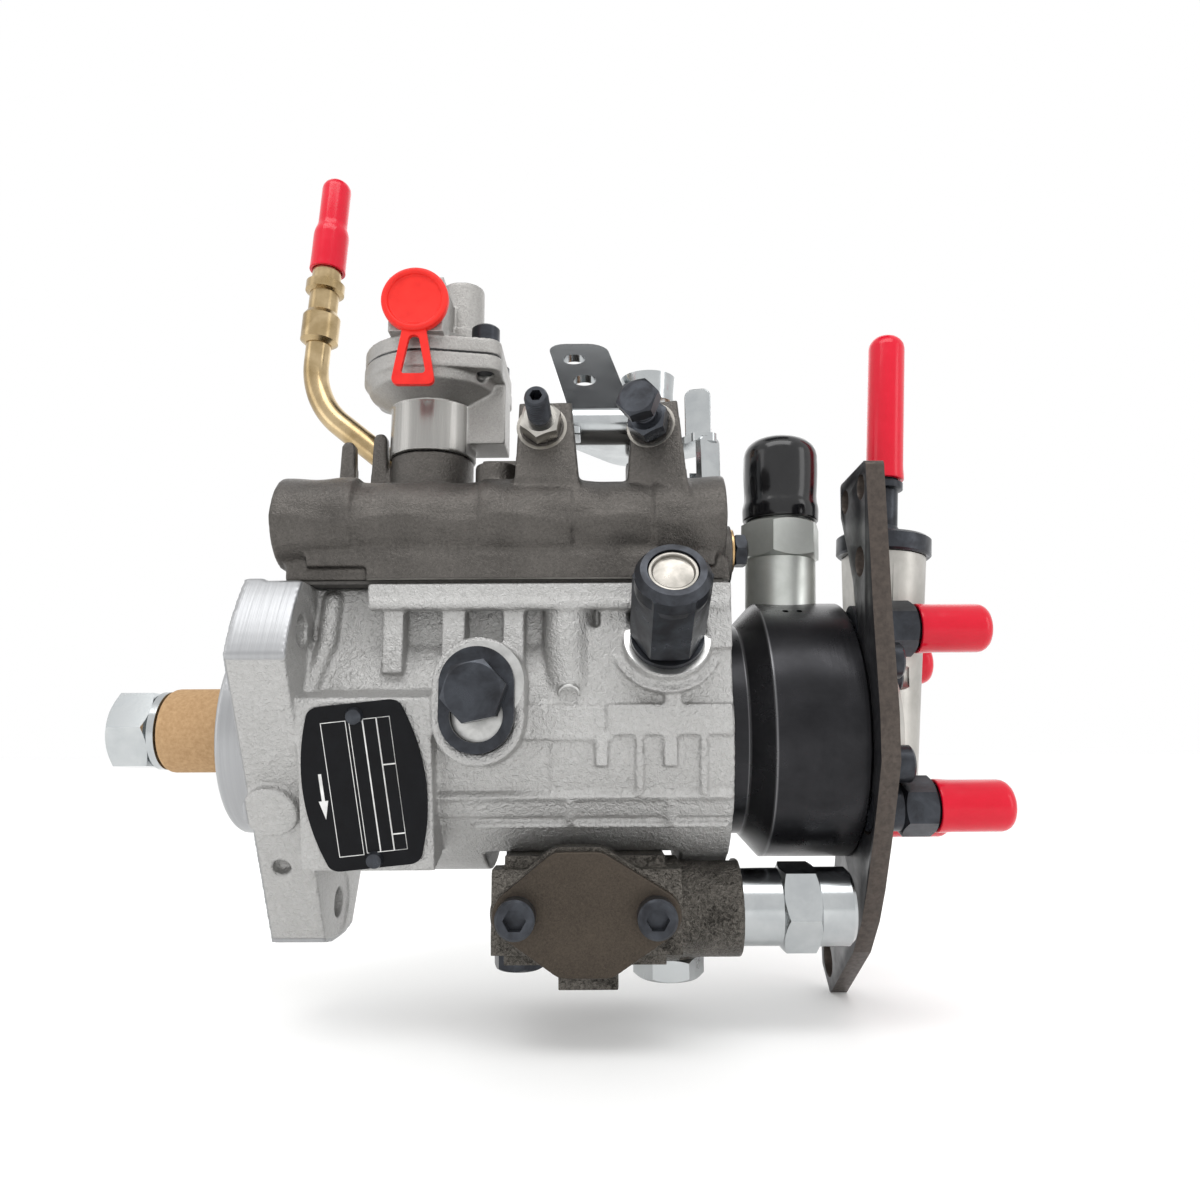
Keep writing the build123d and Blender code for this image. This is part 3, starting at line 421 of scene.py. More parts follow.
def flangeCuts(tree, axes):
    # the register, the front face and the round rims of the lobes are turned
    radius = calc(tree, "SQRT", weighted(tree, (axes[1], axes[1]), (axes[2], axes[2])))
    front = remap(tree, axes[0], *cuts["front"])
    outside = remap(tree, radius, *cuts["rimRadius"])
    rim = calc(tree, "MULTIPLY", outside, remap(tree, axes[0], *cuts["rimBack"]))
    return calc(tree, "MAXIMUM", front, rim)


def coverCuts(tree, axes):
    # milled joint lip of the governor cover
    return remap(tree, axes[2], *cuts["lipTop"])


def neckCuts(tree, axes):
    # the capsule's neck is turned from its seat up to the bowl
    below = remap(tree, axes[2], *cuts["neckTop"])
    return calc(tree, "MULTIPLY", below, remap(tree, axes[0], *cuts["neckBack"]))


castLooks = {
    "blastedAluminium": {
        "slot": "cast_aluminium", "metallic": 0.82, "roughness": 0.46, "peel": 880.0, "blotch": 55.0,
        "light": rgb(0.5, 0.497, 0.49), "dark": rgb(0.4, 0.396, 0.388), "bump": 1.0, "depth": 0.5,
        "cut": flangeCuts, "cutLight": rgb(0.42, 0.425, 0.435), "cutDark": rgb(0.31, 0.315, 0.325),
        "cutRoughness": 0.36, "toolLines": 900.0},
    "darkAluminium": {
        "slot": "dark_cast", "metallic": 0.88, "roughness": 0.35, "peel": 1500.0, "blotch": 70.0,
        "light": rgb(0.125, 0.116, 0.107), "dark": rgb(0.07, 0.065, 0.06), "bump": 0.8, "depth": 0.26,
        "cut": coverCuts, "cutLight": rgb(0.3, 0.29, 0.27), "cutDark": rgb(0.2, 0.19, 0.18),
        "cutRoughness": 0.35, "toolLines": 900.0},
    "capsuleAluminium": {
        "slot": "boost_cast", "metallic": 0.85, "roughness": 0.42, "peel": 1700.0, "blotch": 90.0,
        "light": rgb(0.42, 0.41, 0.395), "dark": rgb(0.3, 0.292, 0.28), "bump": 0.7, "depth": 0.2,
        "cut": neckCuts, "cutLight": rgb(0.42, 0.41, 0.39), "cutDark": rgb(0.26, 0.255, 0.245),
        "cutRoughness": 0.27, "toolLines": 900.0},
    "oiledIron": {
        "slot": "dark_iron", "metallic": 0.8, "roughness": 0.33, "peel": 1100.0, "blotch": 80.0,
        "light": rgb(0.19, 0.175, 0.155), "dark": rgb(0.02, 0.018, 0.015), "bump": 1.0, "depth": 0.8},
    "oiledLid": {
        "slot": "dark_iron", "metallic": 0.75, "roughness": 0.42, "peel": 1900.0, "blotch": 60.0,
        "light": rgb(0.075, 0.06, 0.046), "dark": rgb(0.04, 0.032, 0.025), "bump": 0.45, "depth": 0.14},
}


def makeCastings():
    made = {name: castSkin(name, look) for name, look in castLooks.items()}
    for name, settings in castings.items():
        castFrom(name, settings, made[settings["skin"]])
    print("castings ready")
    return made


# finishes of the machined and plated pieces
metalLooks = {
    "zincPlate": {
        "slot": "zinc_plate", "light": rgb(0.5, 0.52, 0.525), "dark": rgb(0.42, 0.44, 0.45),
        "metallic": 1.0, "rough": (0.15, 0.22), "blotch": 110.0, "scratch": 1600.0, "bump": 0.12},
    "castZinc": {
        "slot": "zinc_plate", "light": rgb(0.5, 0.485, 0.455), "dark": rgb(0.36, 0.35, 0.325),
        "metallic": 0.95, "rough": (0.34, 0.46), "blotch": 60.0, "scratch": 1100.0, "bump": 0.3},
    "satinZinc": {
        "slot": "zinc_plate", "light": rgb(0.66, 0.68, 0.65), "dark": rgb(0.54, 0.56, 0.53),
        "metallic": 0.8, "rough": (0.34, 0.46), "blotch": 90.0, "scratch": 1300.0, "bump": 0.2},
    "nickelPlate": {
        "slot": "zinc_plate", "light": rgb(0.46, 0.445, 0.41), "dark": rgb(0.36, 0.345, 0.32),
        "metallic": 1.0, "rough": (0.24, 0.32), "blotch": 160.0, "scratch": 1600.0, "bump": 0.08},
    "yellowZinc": {
        "slot": "yellow_zinc", "light": rgb(0.52, 0.4, 0.235), "dark": rgb(0.3, 0.215, 0.105),
        "metallic": 1.0, "rough": (0.18, 0.3), "blotch": 90.0, "scratch": 1400.0, "bump": 0.15},
    "blackOxide": {
        "slot": "black_oxide", "light": rgb(0.05, 0.055, 0.065), "dark": rgb(0.02, 0.021, 0.025),
        "metallic": 0.7, "rough": (0.26, 0.4), "blotch": 160.0, "scratch": 1800.0, "bump": 0.12},
    "headBlack": {
        "slot": "head_black", "light": rgb(0.022, 0.022, 0.025), "dark": rgb(0.009, 0.009, 0.011),
        "metallic": 0.65, "rough": (0.24, 0.34), "blotch": 60.0, "scratch": 1300.0, "bump": 0.55,
        "turned": True},
    "paintedPlate": {
        "slot": "painted_plate", "light": rgb(0.04, 0.04, 0.043), "dark": rgb(0.017, 0.017, 0.02),
        "metallic": 0.5, "rough": (0.3, 0.48), "blotch": 110.0, "scratch": 1200.0, "bump": 0.25},
    "rubbedEdge": {
        "slot": "painted_plate", "light": rgb(0.08, 0.064, 0.054), "dark": rgb(0.05, 0.04, 0.034),
        "metallic": 0.5, "rough": (0.34, 0.46), "blotch": 700.0, "scratch": 1600.0, "bump": 0.15},
    "groundSteel": {
        "slot": "ground_steel", "light": rgb(0.58, 0.58, 0.57), "dark": rgb(0.4, 0.4, 0.39),
        "metallic": 1.0, "rough": (0.2, 0.3), "blotch": 140.0, "scratch": 1500.0, "bump": 0.1},
    "springSteel": {
        "slot": "spring_steel", "light": rgb(0.42, 0.41, 0.4), "dark": rgb(0.26, 0.25, 0.24),
        "metallic": 1.0, "rough": (0.26, 0.38), "blotch": 200.0, "scratch": 1500.0, "bump": 0.1},
    "copperWire": {
        "slot": "copper_spring", "light": rgb(0.75, 0.47, 0.3), "dark": rgb(0.5, 0.28, 0.16),
        "metallic": 1.0, "rough": (0.24, 0.36), "blotch": 200.0, "scratch": 1500.0, "bump": 0.1},
    "bushBronze": {
        "slot": "bush_bronze", "light": rgb(0.66, 0.46, 0.24), "dark": rgb(0.5, 0.33, 0.16),
        "metallic": 1.0, "rough": (0.3, 0.42), "blotch": 200.0, "scratch": 1500.0, "bump": 0.1},
    "turnedSeat": {
        "slot": "dark_cast", "light": rgb(0.36, 0.34, 0.31), "dark": rgb(0.22, 0.21, 0.19),
        "metallic": 1.0, "rough": (0.26, 0.36), "blotch": 200.0, "scratch": 2400.0, "bump": 0.2},
    "turnedAluminium": {
        "slot": "cast_aluminium", "light": rgb(0.6, 0.6, 0.59), "dark": rgb(0.42, 0.42, 0.41),
        "metallic": 1.0, "rough": (0.26, 0.36), "blotch": 200.0, "scratch": 2400.0, "bump": 0.2},
    "plateSilver": {
        "slot": "ground_steel", "light": rgb(0.8, 0.8, 0.79), "dark": rgb(0.6, 0.6, 0.59),
        "metallic": 0.3, "rough": (0.4, 0.5), "blotch": 300.0, "scratch": 2400.0, "bump": 0.05},
}


scratchDepth = 0.05
headEdgeHighlights = {  # painted highlights: lighter bands of colour on the edges beside the ramp of the head, standing in for the light those edges catch, in metres along the shaft
    "places": (0.1376, 0.1316), "fade": (0.0005, 0.0001), "strength": 0.5, "color": rgb(0.25, 0.25, 0.26)}


def platedMetal(name, look):
    mat, tree, shader = newMaterial(name, look["metallic"], look["rough"][0])
    point = objectPoint(tree)
    blotch = noiseOf(tree, point, look["blotch"], 5.0, 0.6, 0.3)
    grainPoint = objectPoint(tree, scale=(1, 0.01, 0.01)) if look.get("turned") else point
    fine = noiseOf(tree, grainPoint, look["scratch"], 2.0, 0.6)
    color = blendColors(tree, remap(tree, blotch, 0.35, 0.65), look["dark"], look["light"])
    if look.get("turned"):
        along = addNode(tree, "SeparateXYZ", {"Vector": point}).outputs[0]
        # painted highlight: each edge beside the head's ramp gets a lighter band of colour
        for edge in headEdgeHighlights["places"]:
            away = calc(tree, "ABSOLUTE", calc(tree, "SUBTRACT", along, edge))
            rim = calc(tree, "MULTIPLY", remap(tree, away, *headEdgeHighlights["fade"]), headEdgeHighlights["strength"])
            color = blendColors(tree, rim, color, headEdgeHighlights["color"])
    tree.links.new(color, shader.inputs["Base Color"])
    rough = remap(tree, blotch, 0.3, 0.7, look["rough"][1], look["rough"][0])
    tree.links.new(rough, shader.inputs["Roughness"])
    tree.links.new(bumped(tree, fine, look["bump"], scratchDepth * mm), shader.inputs["Normal"])
    mat["recordSlot"] = look["slot"]
    mat["look"] = {"light": look["light"], "metallic": look["metallic"]}
    return mat


softLooks = {
    "redVinyl": {
        "specular": 0.3, "slot": "red_vinyl", "light": rgb(0.62, 0.002, 0.022),
        "dark": rgb(0.57, 0.0015, 0.018), "rough": 0.2, "coat": 0.1, "blotch": 60.0, "bump": 0.06,
        "depth": 0.1},
    "redPolythene": {
        "specular": 0.3, "slot": "orange_red_plastic", "light": rgb(0.78, 0.02, 0.012),
        "dark": rgb(0.64, 0.012, 0.008), "rough": 0.42, "coat": 0.0, "blotch": 60.0, "bump": 0.05,
        "depth": 0.08},
    "blackRubber": {
        "specular": 0.4, "slot": "rubber", "light": rgb(0.008, 0.008, 0.009),
        "dark": rgb(0.004, 0.004, 0.005), "rough": 0.16, "coat": 0.2, "blotch": 120.0, "bump": 0.25,
        "depth": 0.1},
    "kraftPaper": {
        "specular": 0.1, "slot": "kraft_sleeve", "light": rgb(0.5, 0.33, 0.18),
        "dark": rgb(0.38, 0.235, 0.12), "rough": 0.86, "coat": 0.0, "blotch": 900.0, "bump": 0.4,
        "depth": 0.1},
    "fibreGasket": {
        "specular": 0.2, "slot": "gasket", "light": rgb(0.1, 0.095, 0.09),
        "dark": rgb(0.05, 0.048, 0.045), "rough": 0.8, "coat": 0.0, "blotch": 1100.0, "bump": 0.4,
        "depth": 0.1},
    "plateInk": {
        "specular": 0.12, "slot": "plate_black", "light": rgb(0.006, 0.0065, 0.008),
        "dark": rgb(0.004, 0.004, 0.005), "rough": 0.42, "coat": 0.0, "blotch": 200.0, "bump": 0.08,
        "depth": 0.04},
}


coatRoughness = 0.15


def softSkin(name, look):
    mat, tree, shader = newMaterial(name, 0.0, look["rough"])
    shader.inputs["Specular IOR Level"].default_value = look["specular"]
    shader.inputs["Coat Weight"].default_value = look["coat"]
    shader.inputs["Coat Roughness"].default_value = coatRoughness
    point = objectPoint(tree)
    blotch = noiseOf(tree, point, look["blotch"], 4.0, 0.6)
    fine = noiseOf(tree, point, look["blotch"] * 6, 2.0, 0.6)
    tone = weighted(tree, (blotch, 0.65), (fine, 0.35))
    color = blendColors(tree, remap(tree, tone, 0.36, 0.64), look["dark"], look["light"])
    rough = remap(tree, fine, 0.3, 0.7, look["rough"] - 0.04, look["rough"] + 0.05)
    tree.links.new(color, shader.inputs["Base Color"])
    tree.links.new(rough, shader.inputs["Roughness"])
    tree.links.new(bumped(tree, tone, look["bump"], look["depth"] * mm), shader.inputs["Normal"])
    mat["recordSlot"] = look["slot"]
    return mat


def makeFinishes():
    made = {name: platedMetal(name, look) for name, look in metalLooks.items()}
    made.update({name: softSkin(name, look) for name, look in softLooks.items()})
    print(len(made), "finishes ready")
    return made


split = {"at": 0.09, "fade": 0.0001}  # metres along the shaft


def splitAlong(name, front, back):
    # one node, two finishes: the pieces ahead of the plane and those behind it
    mat = front.copy()
    mat.name = name
    tree = mat.node_tree
    along = addNode(tree, "SeparateXYZ", {"Vector": objectPoint(tree)}).outputs[0]
    mask = remap(tree, along, split["at"] - split["fade"], split["at"] + split["fade"])
    shader = tree.nodes["Principled BSDF"]
    other = back["look"]
    first = shader.inputs["Base Color"].links[0].from_socket
    tree.links.new(blendColors(tree, mask, first, tuple(other["light"])), shader.inputs["Base Color"])
    metallic = remap(tree, mask, 0.0, 1.0, front["look"]["metallic"], other["metallic"])
    tree.links.new(metallic, shader.inputs["Metallic"])
    return mat


def dressNodes():
    bySlot = {}
    for mat in list(skins.values()) + list(finishes.values()):
        bySlot.setdefault(mat["recordSlot"], mat)
    special = {"end_cover": finishes["castZinc"], "stop_solenoid": finishes["satinZinc"],
               "screw_lock_nuts": splitAlong("lockNutPair", finishes["nickelPlate"], finishes["blackOxide"]),
               "advance_bolts": splitAlong("advanceBoltSet", finishes["blackOxide"], finishes["zincPlate"])}
    for name, obj in nodes.items():
        mat = special.get(name, bySlot[slotOf[name]])
        for slot in obj.material_slots:
            slot.material = mat
        if not obj.material_slots:
            obj.data.materials.append(mat)
    print("nodes dressed")


# red transit caps, the boost port's cap and the solenoid's boot
def atMount(name, back=0.0):
    mount = next(m for m in frame["record"]["mounts"] if m["name"] == name)
    axis = Vector(mount["axis"])
    side = (0, 1, 0) if abs(axis.x) > 0.9 else (1, 0, 0)
    return frameAt(Vector(mount["pos_m"]) / mm - axis * back, axis, side)


outletCap = {"back": 14.8, "bore": 6.12, "lip": 7.1, "side": 7.0, "length": 21.0, "dome": 3.3, "wall": 1.1}
fuelCap = {"back": 37.2, "bore": 4.2, "lip": 5.9, "side": 5.72, "length": 48.4, "dome": 4.4, "wall": 1.6}
pipeCap = {"back": 21.9, "wide": 5.72, "step": 13.6, "narrow": 4.72, "length": 33.2, "dome": 3.4}
portCap = {"bore": 4.05, "rim": 9.6, "pan": 7.45, "rimHeight": 2.6, "panHeight": 1.7, "stem": 6.0,
           "thickness": 1.7,
           "loop": [(-3.0, -6.6), (3.0, -6.6), (6.3, -25.3), (-6.3, -25.3)],
           "hole": [(-1.3, -10.6), (1.3, -10.6), (3.6, -22.0), (-3.6, -22.0)]}
boot = {"seat": (147.0, 0.0, 34.0), "lean": (0.035, 0, 1), "bore": 9.55, "side": 11.8,
        "low": 29.4, "top": 56.1}


def dippedCap(name, look, place, node, body, material):
    top = look["length"]
    corners = [(0, top - look["wall"], 0), (look["bore"], top - look["wall"], look["dome"] * 0.8),
               (look["bore"], 0.0, 0.25), (look["lip"], 0.0, 0.35), (look["lip"], 1.3, 0.8),
               (look["side"] * 0.985, 4.0, 1.5), (look["side"] * 0.985, top - 0.35, look["dome"]),
               (0.9, top - 0.3, 0.3), (0.75, top, 0.2), (0, top, 0)]
    return turnedPiece(name, corners, place, material, body, 64, (node,))


def softEdges(piece, width, segments=2, angle=40.0):
    bevel = piece.modifiers.new("Bevel", "BEVEL")
    bevel.width = width * mm
    bevel.segments = segments
    bevel.limit_method = "ANGLE"
    bevel.angle_limit = math.radians(angle)
    smoothed(piece, 50)
    normals = piece.modifiers.new("WeightedNormal", "WEIGHTED_NORMAL")
    normals.keep_sharp = True
    return piece


def roundedOutline(bm, corners):
    # corners: x, y and rounding, in millimetres
    verts = [bm.verts.new((x * mm, y * mm, 0)) for x, y, _ in corners]
    for a, b in zip(verts, verts[1:] + verts[:1]):
        bm.edges.new((a, b))
    for vert, (_, _, rounding) in zip(verts, corners):
        roundCorners(bm, [vert], rounding)


def makePortCap():
    look = portCap
    red = finishes["redPolythene"]
    place = atMount("boost_port")
    corners = [(0, -look["stem"], 0), (look["bore"] - 0.4, -look["stem"], 0.4),
               (look["bore"], -look["stem"] + 1.4, 0.3), (look["bore"], 0.05, 0.1),
               (look["rim"], 0.05, 0.5), (look["rim"], look["rimHeight"], 0.9),
               (look["pan"] + 0.4, look["rimHeight"], 0.5), (look["pan"], look["panHeight"], 0.3),
               (0, look["panHeight"], 0)]
    turnedPiece("portCap", corners, place, red, "port_cap", 72, ("boost_port_cap",))
    bm = bmesh.new()
    roundedOutline(bm, [(x, y, 2.2) for x, y in look["loop"]])
    roundedOutline(bm, [(x, y, 1.2) for x, y in look["hole"]])
    bmesh.ops.triangle_fill(bm, use_beauty=True, use_dissolve=False, edges=bm.edges)
    bmesh.ops.recalc_face_normals(bm, faces=bm.faces)
    bm.transform(place @ Matrix.Translation((0, 0, 0.1 * mm + look["thickness"] * mm / 2)))
    loop = meshPiece("portCapLoop", bm)
    wall = loop.modifiers.new("Solidify", "SOLIDIFY")
    wall.thickness = look["thickness"] * mm
    wall.offset = 0
    softEdges(loop, 0.5, 3)
    finished(loop, red, "port_cap")


def makeCaps():
    red = finishes["redVinyl"]
    for count in range(1, 5):
        dippedCap("outletCap%d" % count, outletCap, atMount("outlet_%d" % count, outletCap["back"]),
                  "delivery_cap_%d" % count, "outlet_cap_%d" % count, red)
    dippedCap("fuelCap", fuelCap, atMount("fuel_inlet_rear", fuelCap["back"]), "inlet_cap", "fuel_cap", red)
    look = pipeCap
    top = look["length"]
    corners = [(0, top - 1.2, 0), (3.5, top - 1.3, 1.5), (4.0, 23.0, 0), (4.6, 15.4, 0), (4.78, 14.2, 0),
               (4.78, 0, 0.2), (look["wide"] + 0.1, 0, 0.3), (look["wide"], 2.0, 0.8),
               (look["wide"], look["step"], 1.3), (look["narrow"], look["step"] + 2.6, 1.2),
               (look["narrow"], top - 0.3, look["dome"]), (0, top, 0)]
    place = atMount("return_outlet", look["back"])
    turnedPiece("pipeCap", corners, place, red, "pipe_cap", 64, ("return_pipe_cap",))
    makePortCap()
    look = boot
    corners = [(0, look["top"] - 2.6, 0), (look["bore"], look["top"] - 2.8, 1.5),
               (look["bore"], look["low"], 0.2), (look["side"] - 0.2, look["low"], 0.7),
               (look["side"], 33.5, 1.0), (look["side"] - 0.7, 36.5, 1.5), (look["side"] - 0.3, 44.0, 3.0),
               (look["side"] - 0.3, look["top"] - 0.4, 5.5), (0, look["top"], 0)]
    place = frameAt(look["seat"], look["lean"])
    turnedPiece("solenoidBoot", corners, place, finishes["blackRubber"], "boot", 72, ("solenoid_boot",))
    print("caps ready")


# paper sleeve, turned in at its front end
sleeve = {"bore": 11.35, "side": 12.45, "front": -38.1, "back": -13.45, "eye": 8.45, "rounding": 2.7}


def makeSleeve():
    look = sleeve
    corners = [(look["eye"], look["front"] + 0.2, 0.1), (look["eye"], look["front"] + 0.9, 0.2),
               (look["bore"], look["front"] + 0.9, 1.2), (look["bore"], look["back"], 0.15),
               (look["side"], look["back"], 0.35), (look["side"], look["front"], look["rounding"]),
               (look["eye"], look["front"], 0.1), (look["eye"], look["front"] + 0.2, 0)]
    place = frameAt((0, 0, 0), rearwards, (0, 1, 0))
    turnedPiece("paperSleeve", corners, place, finishes["kraftPaper"], "drive_line", 96, ("shaft_sleeve",))


# data plate: ruled empty fields, and an arrow for the direction of rotation
plateRules = {"pad": (32.0, -43.2, -14.5), "slope": 15.0, "turn": 6.0,
              "face": 0.83, "rise": 0.04, "line": 0.34,
              "boxes": [  # left, low, right, high, uprights, crossings
                  (-8.7, -17.6, -2.3, 17.3, (), ()),
                  (-1.6, -17.3, 8.8, 17.3, (1.9, 5.4), ()),
                  (5.4, -17.3, 8.8, 17.3, (), (5.1, -13.0))],
              "arrow": [(-11.05, 4.4), (-10.25, 4.4), (-10.25, -2.6), (-9.45, -2.6), (-10.65, -7.4),
                        (-11.85, -2.6), (-11.05, -2.6)]}


def platePlace():
    slope = math.radians(plateRules["slope"])
    place = frameAt(plateRules["pad"], (0, -math.cos(slope), -math.sin(slope)))
    return place @ turnAbout(plateRules["turn"], "Z")


def makePlateRules():
    look = plateRules
    whole = bmesh.new()
    for left, low, right, high, uprights, crossings in look["boxes"]:
        bm = bmesh.new()
        bmesh.ops.create_grid(bm, x_segments=1, y_segments=1, size=0.5)
        bmesh.ops.scale(bm, vec=((right - left) * mm, (high - low) * mm, 1), verts=bm.verts)
        bmesh.ops.translate(bm, vec=((left + right) / 2 * mm, (low + high) / 2 * mm, 0), verts=bm.verts)
        for x in uprights:
            cutAt(bm, (x * mm, 0, 0), (1, 0, 0))
        for y in crossings:
            cutAt(bm, (0, y * mm, 0), (0, 1, 0))
        fields = bm.faces[:]
        bmesh.ops.inset_individual(bm, faces=fields, thickness=look["line"] / 2 * mm, use_even_offset=True)
        bmesh.ops.delete(bm, geom=fields, context="FACES_ONLY")
        part = bpy.data.meshes.new("rules")
        bm.to_mesh(part)
        bm.free()
        whole.from_mesh(part)
        bpy.data.meshes.remove(part)
    whole.faces.new([whole.verts.new((x * mm, y * mm, 0)) for x, y in look["arrow"]])
    for face in whole.faces:
        if face.normal.z < 0:
            face.normal_flip()
    whole.transform(platePlace() @ Matrix.Translation((0, 0, look["face"] * mm)))
    whole.normal_update()
    rules = meshPiece("plateRules", whole)
    wall = rules.modifiers.new("Solidify", "SOLIDIFY")
    wall.thickness = look["rise"] * mm
    wall.offset = 1
    finished(rules, finishes["plateSilver"], "pump_body")
    print("plate rules ready")


# the data plate itself and the steel plate at the rear, with the edges that a press leaves
plateShape = {"half": 15.6, "waist": 4.3, "height": 21.4, "rows": 24, "corner": 2.4, "thickness": 0.8}
rearEdge = {"width": 0.55, "angle": 50.0, "flatAbove": 0.9}


def makeDataPlate():
    look = plateShape
    bm = bmesh.new()
    bmesh.ops.create_grid(bm, x_segments=1, y_segments=look["rows"], size=1.0)
    for vert in bm.verts:
        u, v, _ = vert.co
        vert.co = Vector((u * (look["half"] - look["waist"] * v * v), v * look["height"], 0)) * mm
    inner = [e for e in bm.edges if len(e.link_faces) == 2]
    bmesh.ops.dissolve_edges(bm, edges=inner, use_verts=False)
    corners = [v for v in bm.verts if abs(abs(v.co.y) - look["height"] * mm) < weld]
    roundCorners(bm, corners, look["corner"])
    bmesh.ops.recalc_face_normals(bm, faces=bm.faces)
    bm.transform(platePlace() @ Matrix.Translation((0, 0, look["thickness"] / 2 * mm)))
    plate = meshPiece("dataPlate", bm)
    wall = plate.modifiers.new("Solidify", "SOLIDIFY")
    wall.thickness = look["thickness"] * mm
    wall.offset = 0
    softEdges(plate, 0.15, 2, 50)
    finished(plate, finishes["plateInk"], "pump_body", ("data_plate",))


def makeRearPlate():
    look = rearEdge
    bm = weldedNode("rear_plate")
    bmesh.ops.dissolve_limit(bm, angle_limit=math.radians(0.5), verts=bm.verts, edges=bm.edges)
    bend = math.radians(look["angle"])
    rims = [e for e in bm.edges if len(e.link_faces) == 2 and e.calc_face_angle() > bend]
    bmesh.ops.bevel(bm, geom=rims, offset=look["width"] * mm, offset_type="OFFSET", segments=2, profile=0.5,
                    affect="EDGES", clamp_overlap=True, material=-1)
    bmesh.ops.recalc_face_normals(bm, faces=bm.faces)
    rear = meshPiece("rearPlate", bm)
    smoothed(rear, 40)
    finished(rear, finishes["paintedPlate"], "pump_body", ("rear_plate",))
    rear.data.materials.append(finishes["rubbedEdge"])
    for face in rear.data.polygons:
        face.material_index = 1 if abs(face.normal.x) < look["flatAbove"] else 0


# small turned pieces: inlet seal, sealing washers, machined seats
idleScrew = ((75.9, -39.6, 80.9), (-0.035, -0.983, 0.18))  # seat in millimetres, and the way out
maxScrew = ((105.6, -39.0, 81.5), (-0.29, -0.94, 0.18))


def ring(inner, outer, height, rounding):
    return [(inner, 0, 0), (outer, 0, 0), (outer, height, rounding), (inner, height, rounding), (inner, 0, 0)]


def disc(radius, height):
    return [(0, 0, 0), (radius, 0, 0), (radius, height, 0.05), (0, height, 0)]


trims = [  # name, place, corners, finish
    ("inletSeal", ("fuel_inlet_side", 27.8),
     [(0, 24.1, 0), (6.15, 24.1, 0), (6.15, 27.3, 0.3), (5.15, 27.3, 0.3), (5.0, 26.2, 0.2), (0, 26.2, 0)],
     "turnedSeat"),
    ("plugWasher", ((128.5, -22.0, 49.8), rearwards, (0, 1, 0)),
     [(5.35, 0.02, 0), (6.2, 0.02, 0.1), (6.2, 0.9, 0.25), (5.35, 0.9, 0.1), (5.35, 0.02, 0)], "bushBronze"),
    ("idleSeat", idleScrew, ring(6.0, 6.9, 0.12, 0.04), "turnedSeat"),
    ("maxSeat", maxScrew, ring(6.0, 6.8, 0.12, 0.04), "turnedSeat"),
    ("coreMark", ((83.3, -39.0, 9.5), (0, -0.75, -0.66)),
     [(0, 0.8, 0), (3.0, 0.8, 0), (3.0, 1.75, 0.3), (2.2, 1.75, 0.2), (2.1, 1.4, 0.2), (0, 1.4, 0)],
     "turnedAluminium"),
    ("lockSeatLow", ((61.0, -49.8, 2.6), (0, -1, 0)), disc(6.5, 0.35), "turnedAluminium"),
    ("lockSeatHigh", ((62.1, -49.8, 11.0), (0, -1, 0)), disc(10.4, 0.3), "turnedAluminium"),
    ("inletSeat", ((109.0, -41.0, 22.5), (0, -0.866, 0.5)), ring(9.7, 11.3, 0.12, 0.05), "turnedAluminium"),
]


def makeTrims():
    for name, where, corners, finish in trims:
        place = atMount(*where) if isinstance(where[0], str) else frameAt(*where)
        turnedPiece(name, corners, place, finishes[finish], "pump_body", 64)
    print("trims ready")


# throttle lever: one strap, rolled up and away
strap = {
    "thickness": 2.6, "level": 87.3, "pivot": 5.0, "rightEdge": 101.6,
    "bendStart": 14.33, "bendRadius": 5.0, "bendTurn": 131.0, "bendSteps": 16,
    "outline": [(98.6, -8.6, 6.5), (81.9, 13.0, 3.0), (81.9, 26.8, 4.0), (73.9, 70.9, 6.2), (93.8, 70.9, 6.2),
                (101.1, 26.8, 4.0), (101.1, 12.6, 1.2), (116.0, 11.4, 3.0), (120.6, 19.0, 2.0),
                (127.6, 17.6, 2.0), (126.4, 4.8, 4.0), (116.8, -2.0, 3.0), (116.4, -8.6, 6.5)],
    "holes": [(86.9, 43.5, 3.7), (83.3, 58.8, 3.7), (107.5, 0.0, 4.05)],
    "lugs": [  # centre, size, turn about Z, rounding of the long corners
        ((122.6, -4.4, 96.0), (8.2, 2.2, 19.2), -12.0, 2.6),
        ((124.5, -11.4, 79.9), (8.0, 2.6, 15.4), 38.0, 2.0),
        ((78.9, -18.5, 80.0), (8.2, 2.2, 16.8), 0.0, 1.4),
        ((80.4, -15.2, 87.3), (11.2, 8.6, 2.6), 0.0, 0.8)],
}


def rolled(across, along):
    look = strap
    start, radius = look["bendStart"], look["bendRadius"]
    y, z = look["pivot"] - along, look["level"]
    if across < look["rightEdge"] and along > start:
        whole = math.radians(look["bendTurn"])
        turn = min((along - start) / radius, whole)
        beyond = along - start - radius * turn
        y = look["pivot"] - start - radius * math.sin(turn) - math.cos(turn) * beyond
        z = look["level"] + radius * (1 - math.cos(turn)) + math.sin(turn) * beyond
    return Vector((across, y, z)) * mm


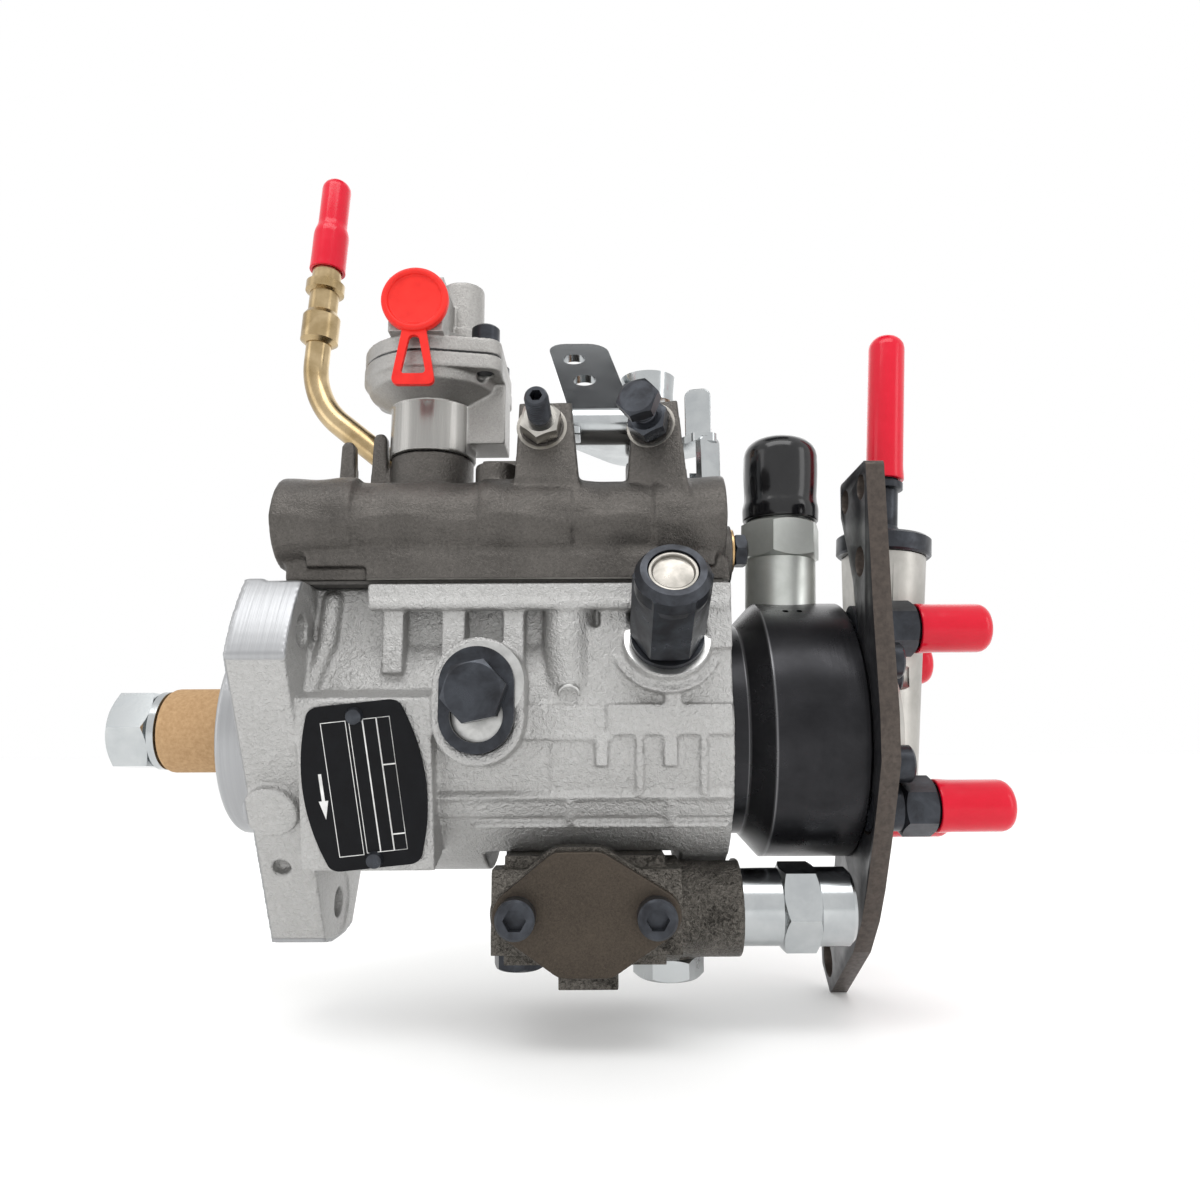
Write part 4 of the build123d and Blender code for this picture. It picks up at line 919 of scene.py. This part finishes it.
def makeStrap():
    look = strap
    bm = bmesh.new()
    roundedOutline(bm, look["outline"])
    for across, along, radius in look["holes"]:
        centre = Matrix.Translation((across * mm, along * mm, 0))
        bmesh.ops.create_circle(bm, segments=40, radius=radius * mm, matrix=centre)
    bmesh.ops.triangle_fill(bm, use_beauty=True, use_dissolve=False, edges=bm.edges)
    arc = look["bendRadius"] * math.radians(look["bendTurn"])
    for step in range(look["bendSteps"] + 1):
        cutAt(bm, (0, (look["bendStart"] + arc * step / look["bendSteps"]) * mm, 0), (0, 1, 0))
    cutAt(bm, (look["rightEdge"] * mm, 0, 0), (1, 0, 0))
    for vert in bm.verts:
        vert.co = rolled(vert.co.x / mm, vert.co.y / mm)
    bmesh.ops.recalc_face_normals(bm, faces=bm.faces)
    lever = meshPiece("throttleStrap", bm)
    wall = lever.modifiers.new("Solidify", "SOLIDIFY")
    wall.thickness = look["thickness"] * mm
    wall.offset = 0
    softEdges(lever, 0.4, 3, 50)
    finished(lever, finishes["zincPlate"], "throttle", ("throttle_lever",))
    for count, (centre, size, turn, rounding) in enumerate(look["lugs"]):
        bm = bmesh.new()
        bmesh.ops.create_cube(bm, size=1.0)
        bmesh.ops.scale(bm, vec=Vector(size) * mm, verts=bm.verts)
        thin = min(range(3), key=lambda axis: size[axis])
        corners = [e for e in bm.edges if abs((e.verts[0].co - e.verts[1].co)[thin]) > weld]
        roundCorners(bm, corners, rounding, "EDGES")
        bm.transform(Matrix.Translation(Vector(centre) * mm) @ turnAbout(turn, "Z"))
        lug = softEdges(meshPiece("strapLug%d" % count, bm), 0.35)
        finished(lug, finishes["zincPlate"], "throttle")
    print("throttle lever ready")


# springs: the frame's coils, copied and given a spring finish of their own
springs = {  # ends in metres: the resting end first
    "advanceCoil": {"node": "advance_spring", "moving": "advance", "rest": (0.088, -0.0364, -0.046),
                    "driven": (0.088, -0.0070, -0.046)},
    "boostCoil": {"node": "boost_spring", "moving": "boost", "rest": (0.041, -0.011, 0.0824),
                  "driven": (0.041, -0.011, 0.1034)},
    "throttleCoil": {"node": "throttle_spring", "moving": "throttle", "rest": (0.1075, 0.005, 0.0890),
                     "driven": (0.1075, 0.005, 0.1028)},
}


def makeSprings():
    for name, look in springs.items():
        coil = meshPiece(name, weldedNode(look["node"]))
        smoothed(coil, 40)
        kept = slotOf[look["node"]]
        coil.data.materials.clear()
        coil.data.materials.append(finishes["copperWire" if kept == "copper_spring" else "springSteel"])
        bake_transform(coil)
        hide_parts(look["node"])
    print("springs ready")


# threads on the stop screws
stopThreads = {
    "root": 2.9, "crest": 3.22, "pitch": 1.0, "perTurn": 28,
    "flat": (0.42, 0.58),  # the crest's flat, in parts of a pitch
    "screws": [  # name, seat, low end and high end
        ("idleThread", idleScrew, 5.5, 15.6), ("maxThread", maxScrew, 5.5, 10.9)],
}


def makeThreads():
    look = stopThreads
    root, crest, pitch = look["root"] * mm, look["crest"] * mm, look["pitch"] * mm
    profile = ((root, 0), (crest, look["flat"][0]), (crest, look["flat"][1]), (root, 1))
    for name, seat, low, high in look["screws"]:
        bm = bmesh.new()
        flank = [bm.verts.new((r, 0, low * mm + h * pitch)) for r, h in profile]
        edges = [bm.edges.new(pair) for pair in zip(flank, flank[1:])]
        turns = int((high - low) / look["pitch"]) - 1
        bmesh.ops.spin(bm, geom=flank + edges, cent=(0, 0, 0), axis=(0, 0, 1), angle=math.tau * turns,
                       dvec=(0, 0, pitch / look["perTurn"]), steps=look["perTurn"] * turns)
        bmesh.ops.remove_doubles(bm, verts=bm.verts, dist=weld)
        bmesh.ops.recalc_face_normals(bm, faces=bm.faces)
        outward = sum((f.calc_center_median().xy.dot(f.normal.xy) for f in bm.faces), 0.0)
        if outward < 0:
            bmesh.ops.reverse_faces(bm, faces=bm.faces)
        bm.transform(frameAt(*seat))
        thread = meshPiece(name, bm)
        smoothed(thread, 30)
        finished(thread, finishes["blackOxide"], "pump_body")
    print("threads ready")


makeStudio()
finishes = makeFinishes()
skins = makeCastings()
dressNodes()
makeCaps()
makeSleeve()
makePlateRules()
makeDataPlate()
makeRearPlate()
print("plates ready")
makeTrims()
makeStrap()
makeSprings()
makeThreads()
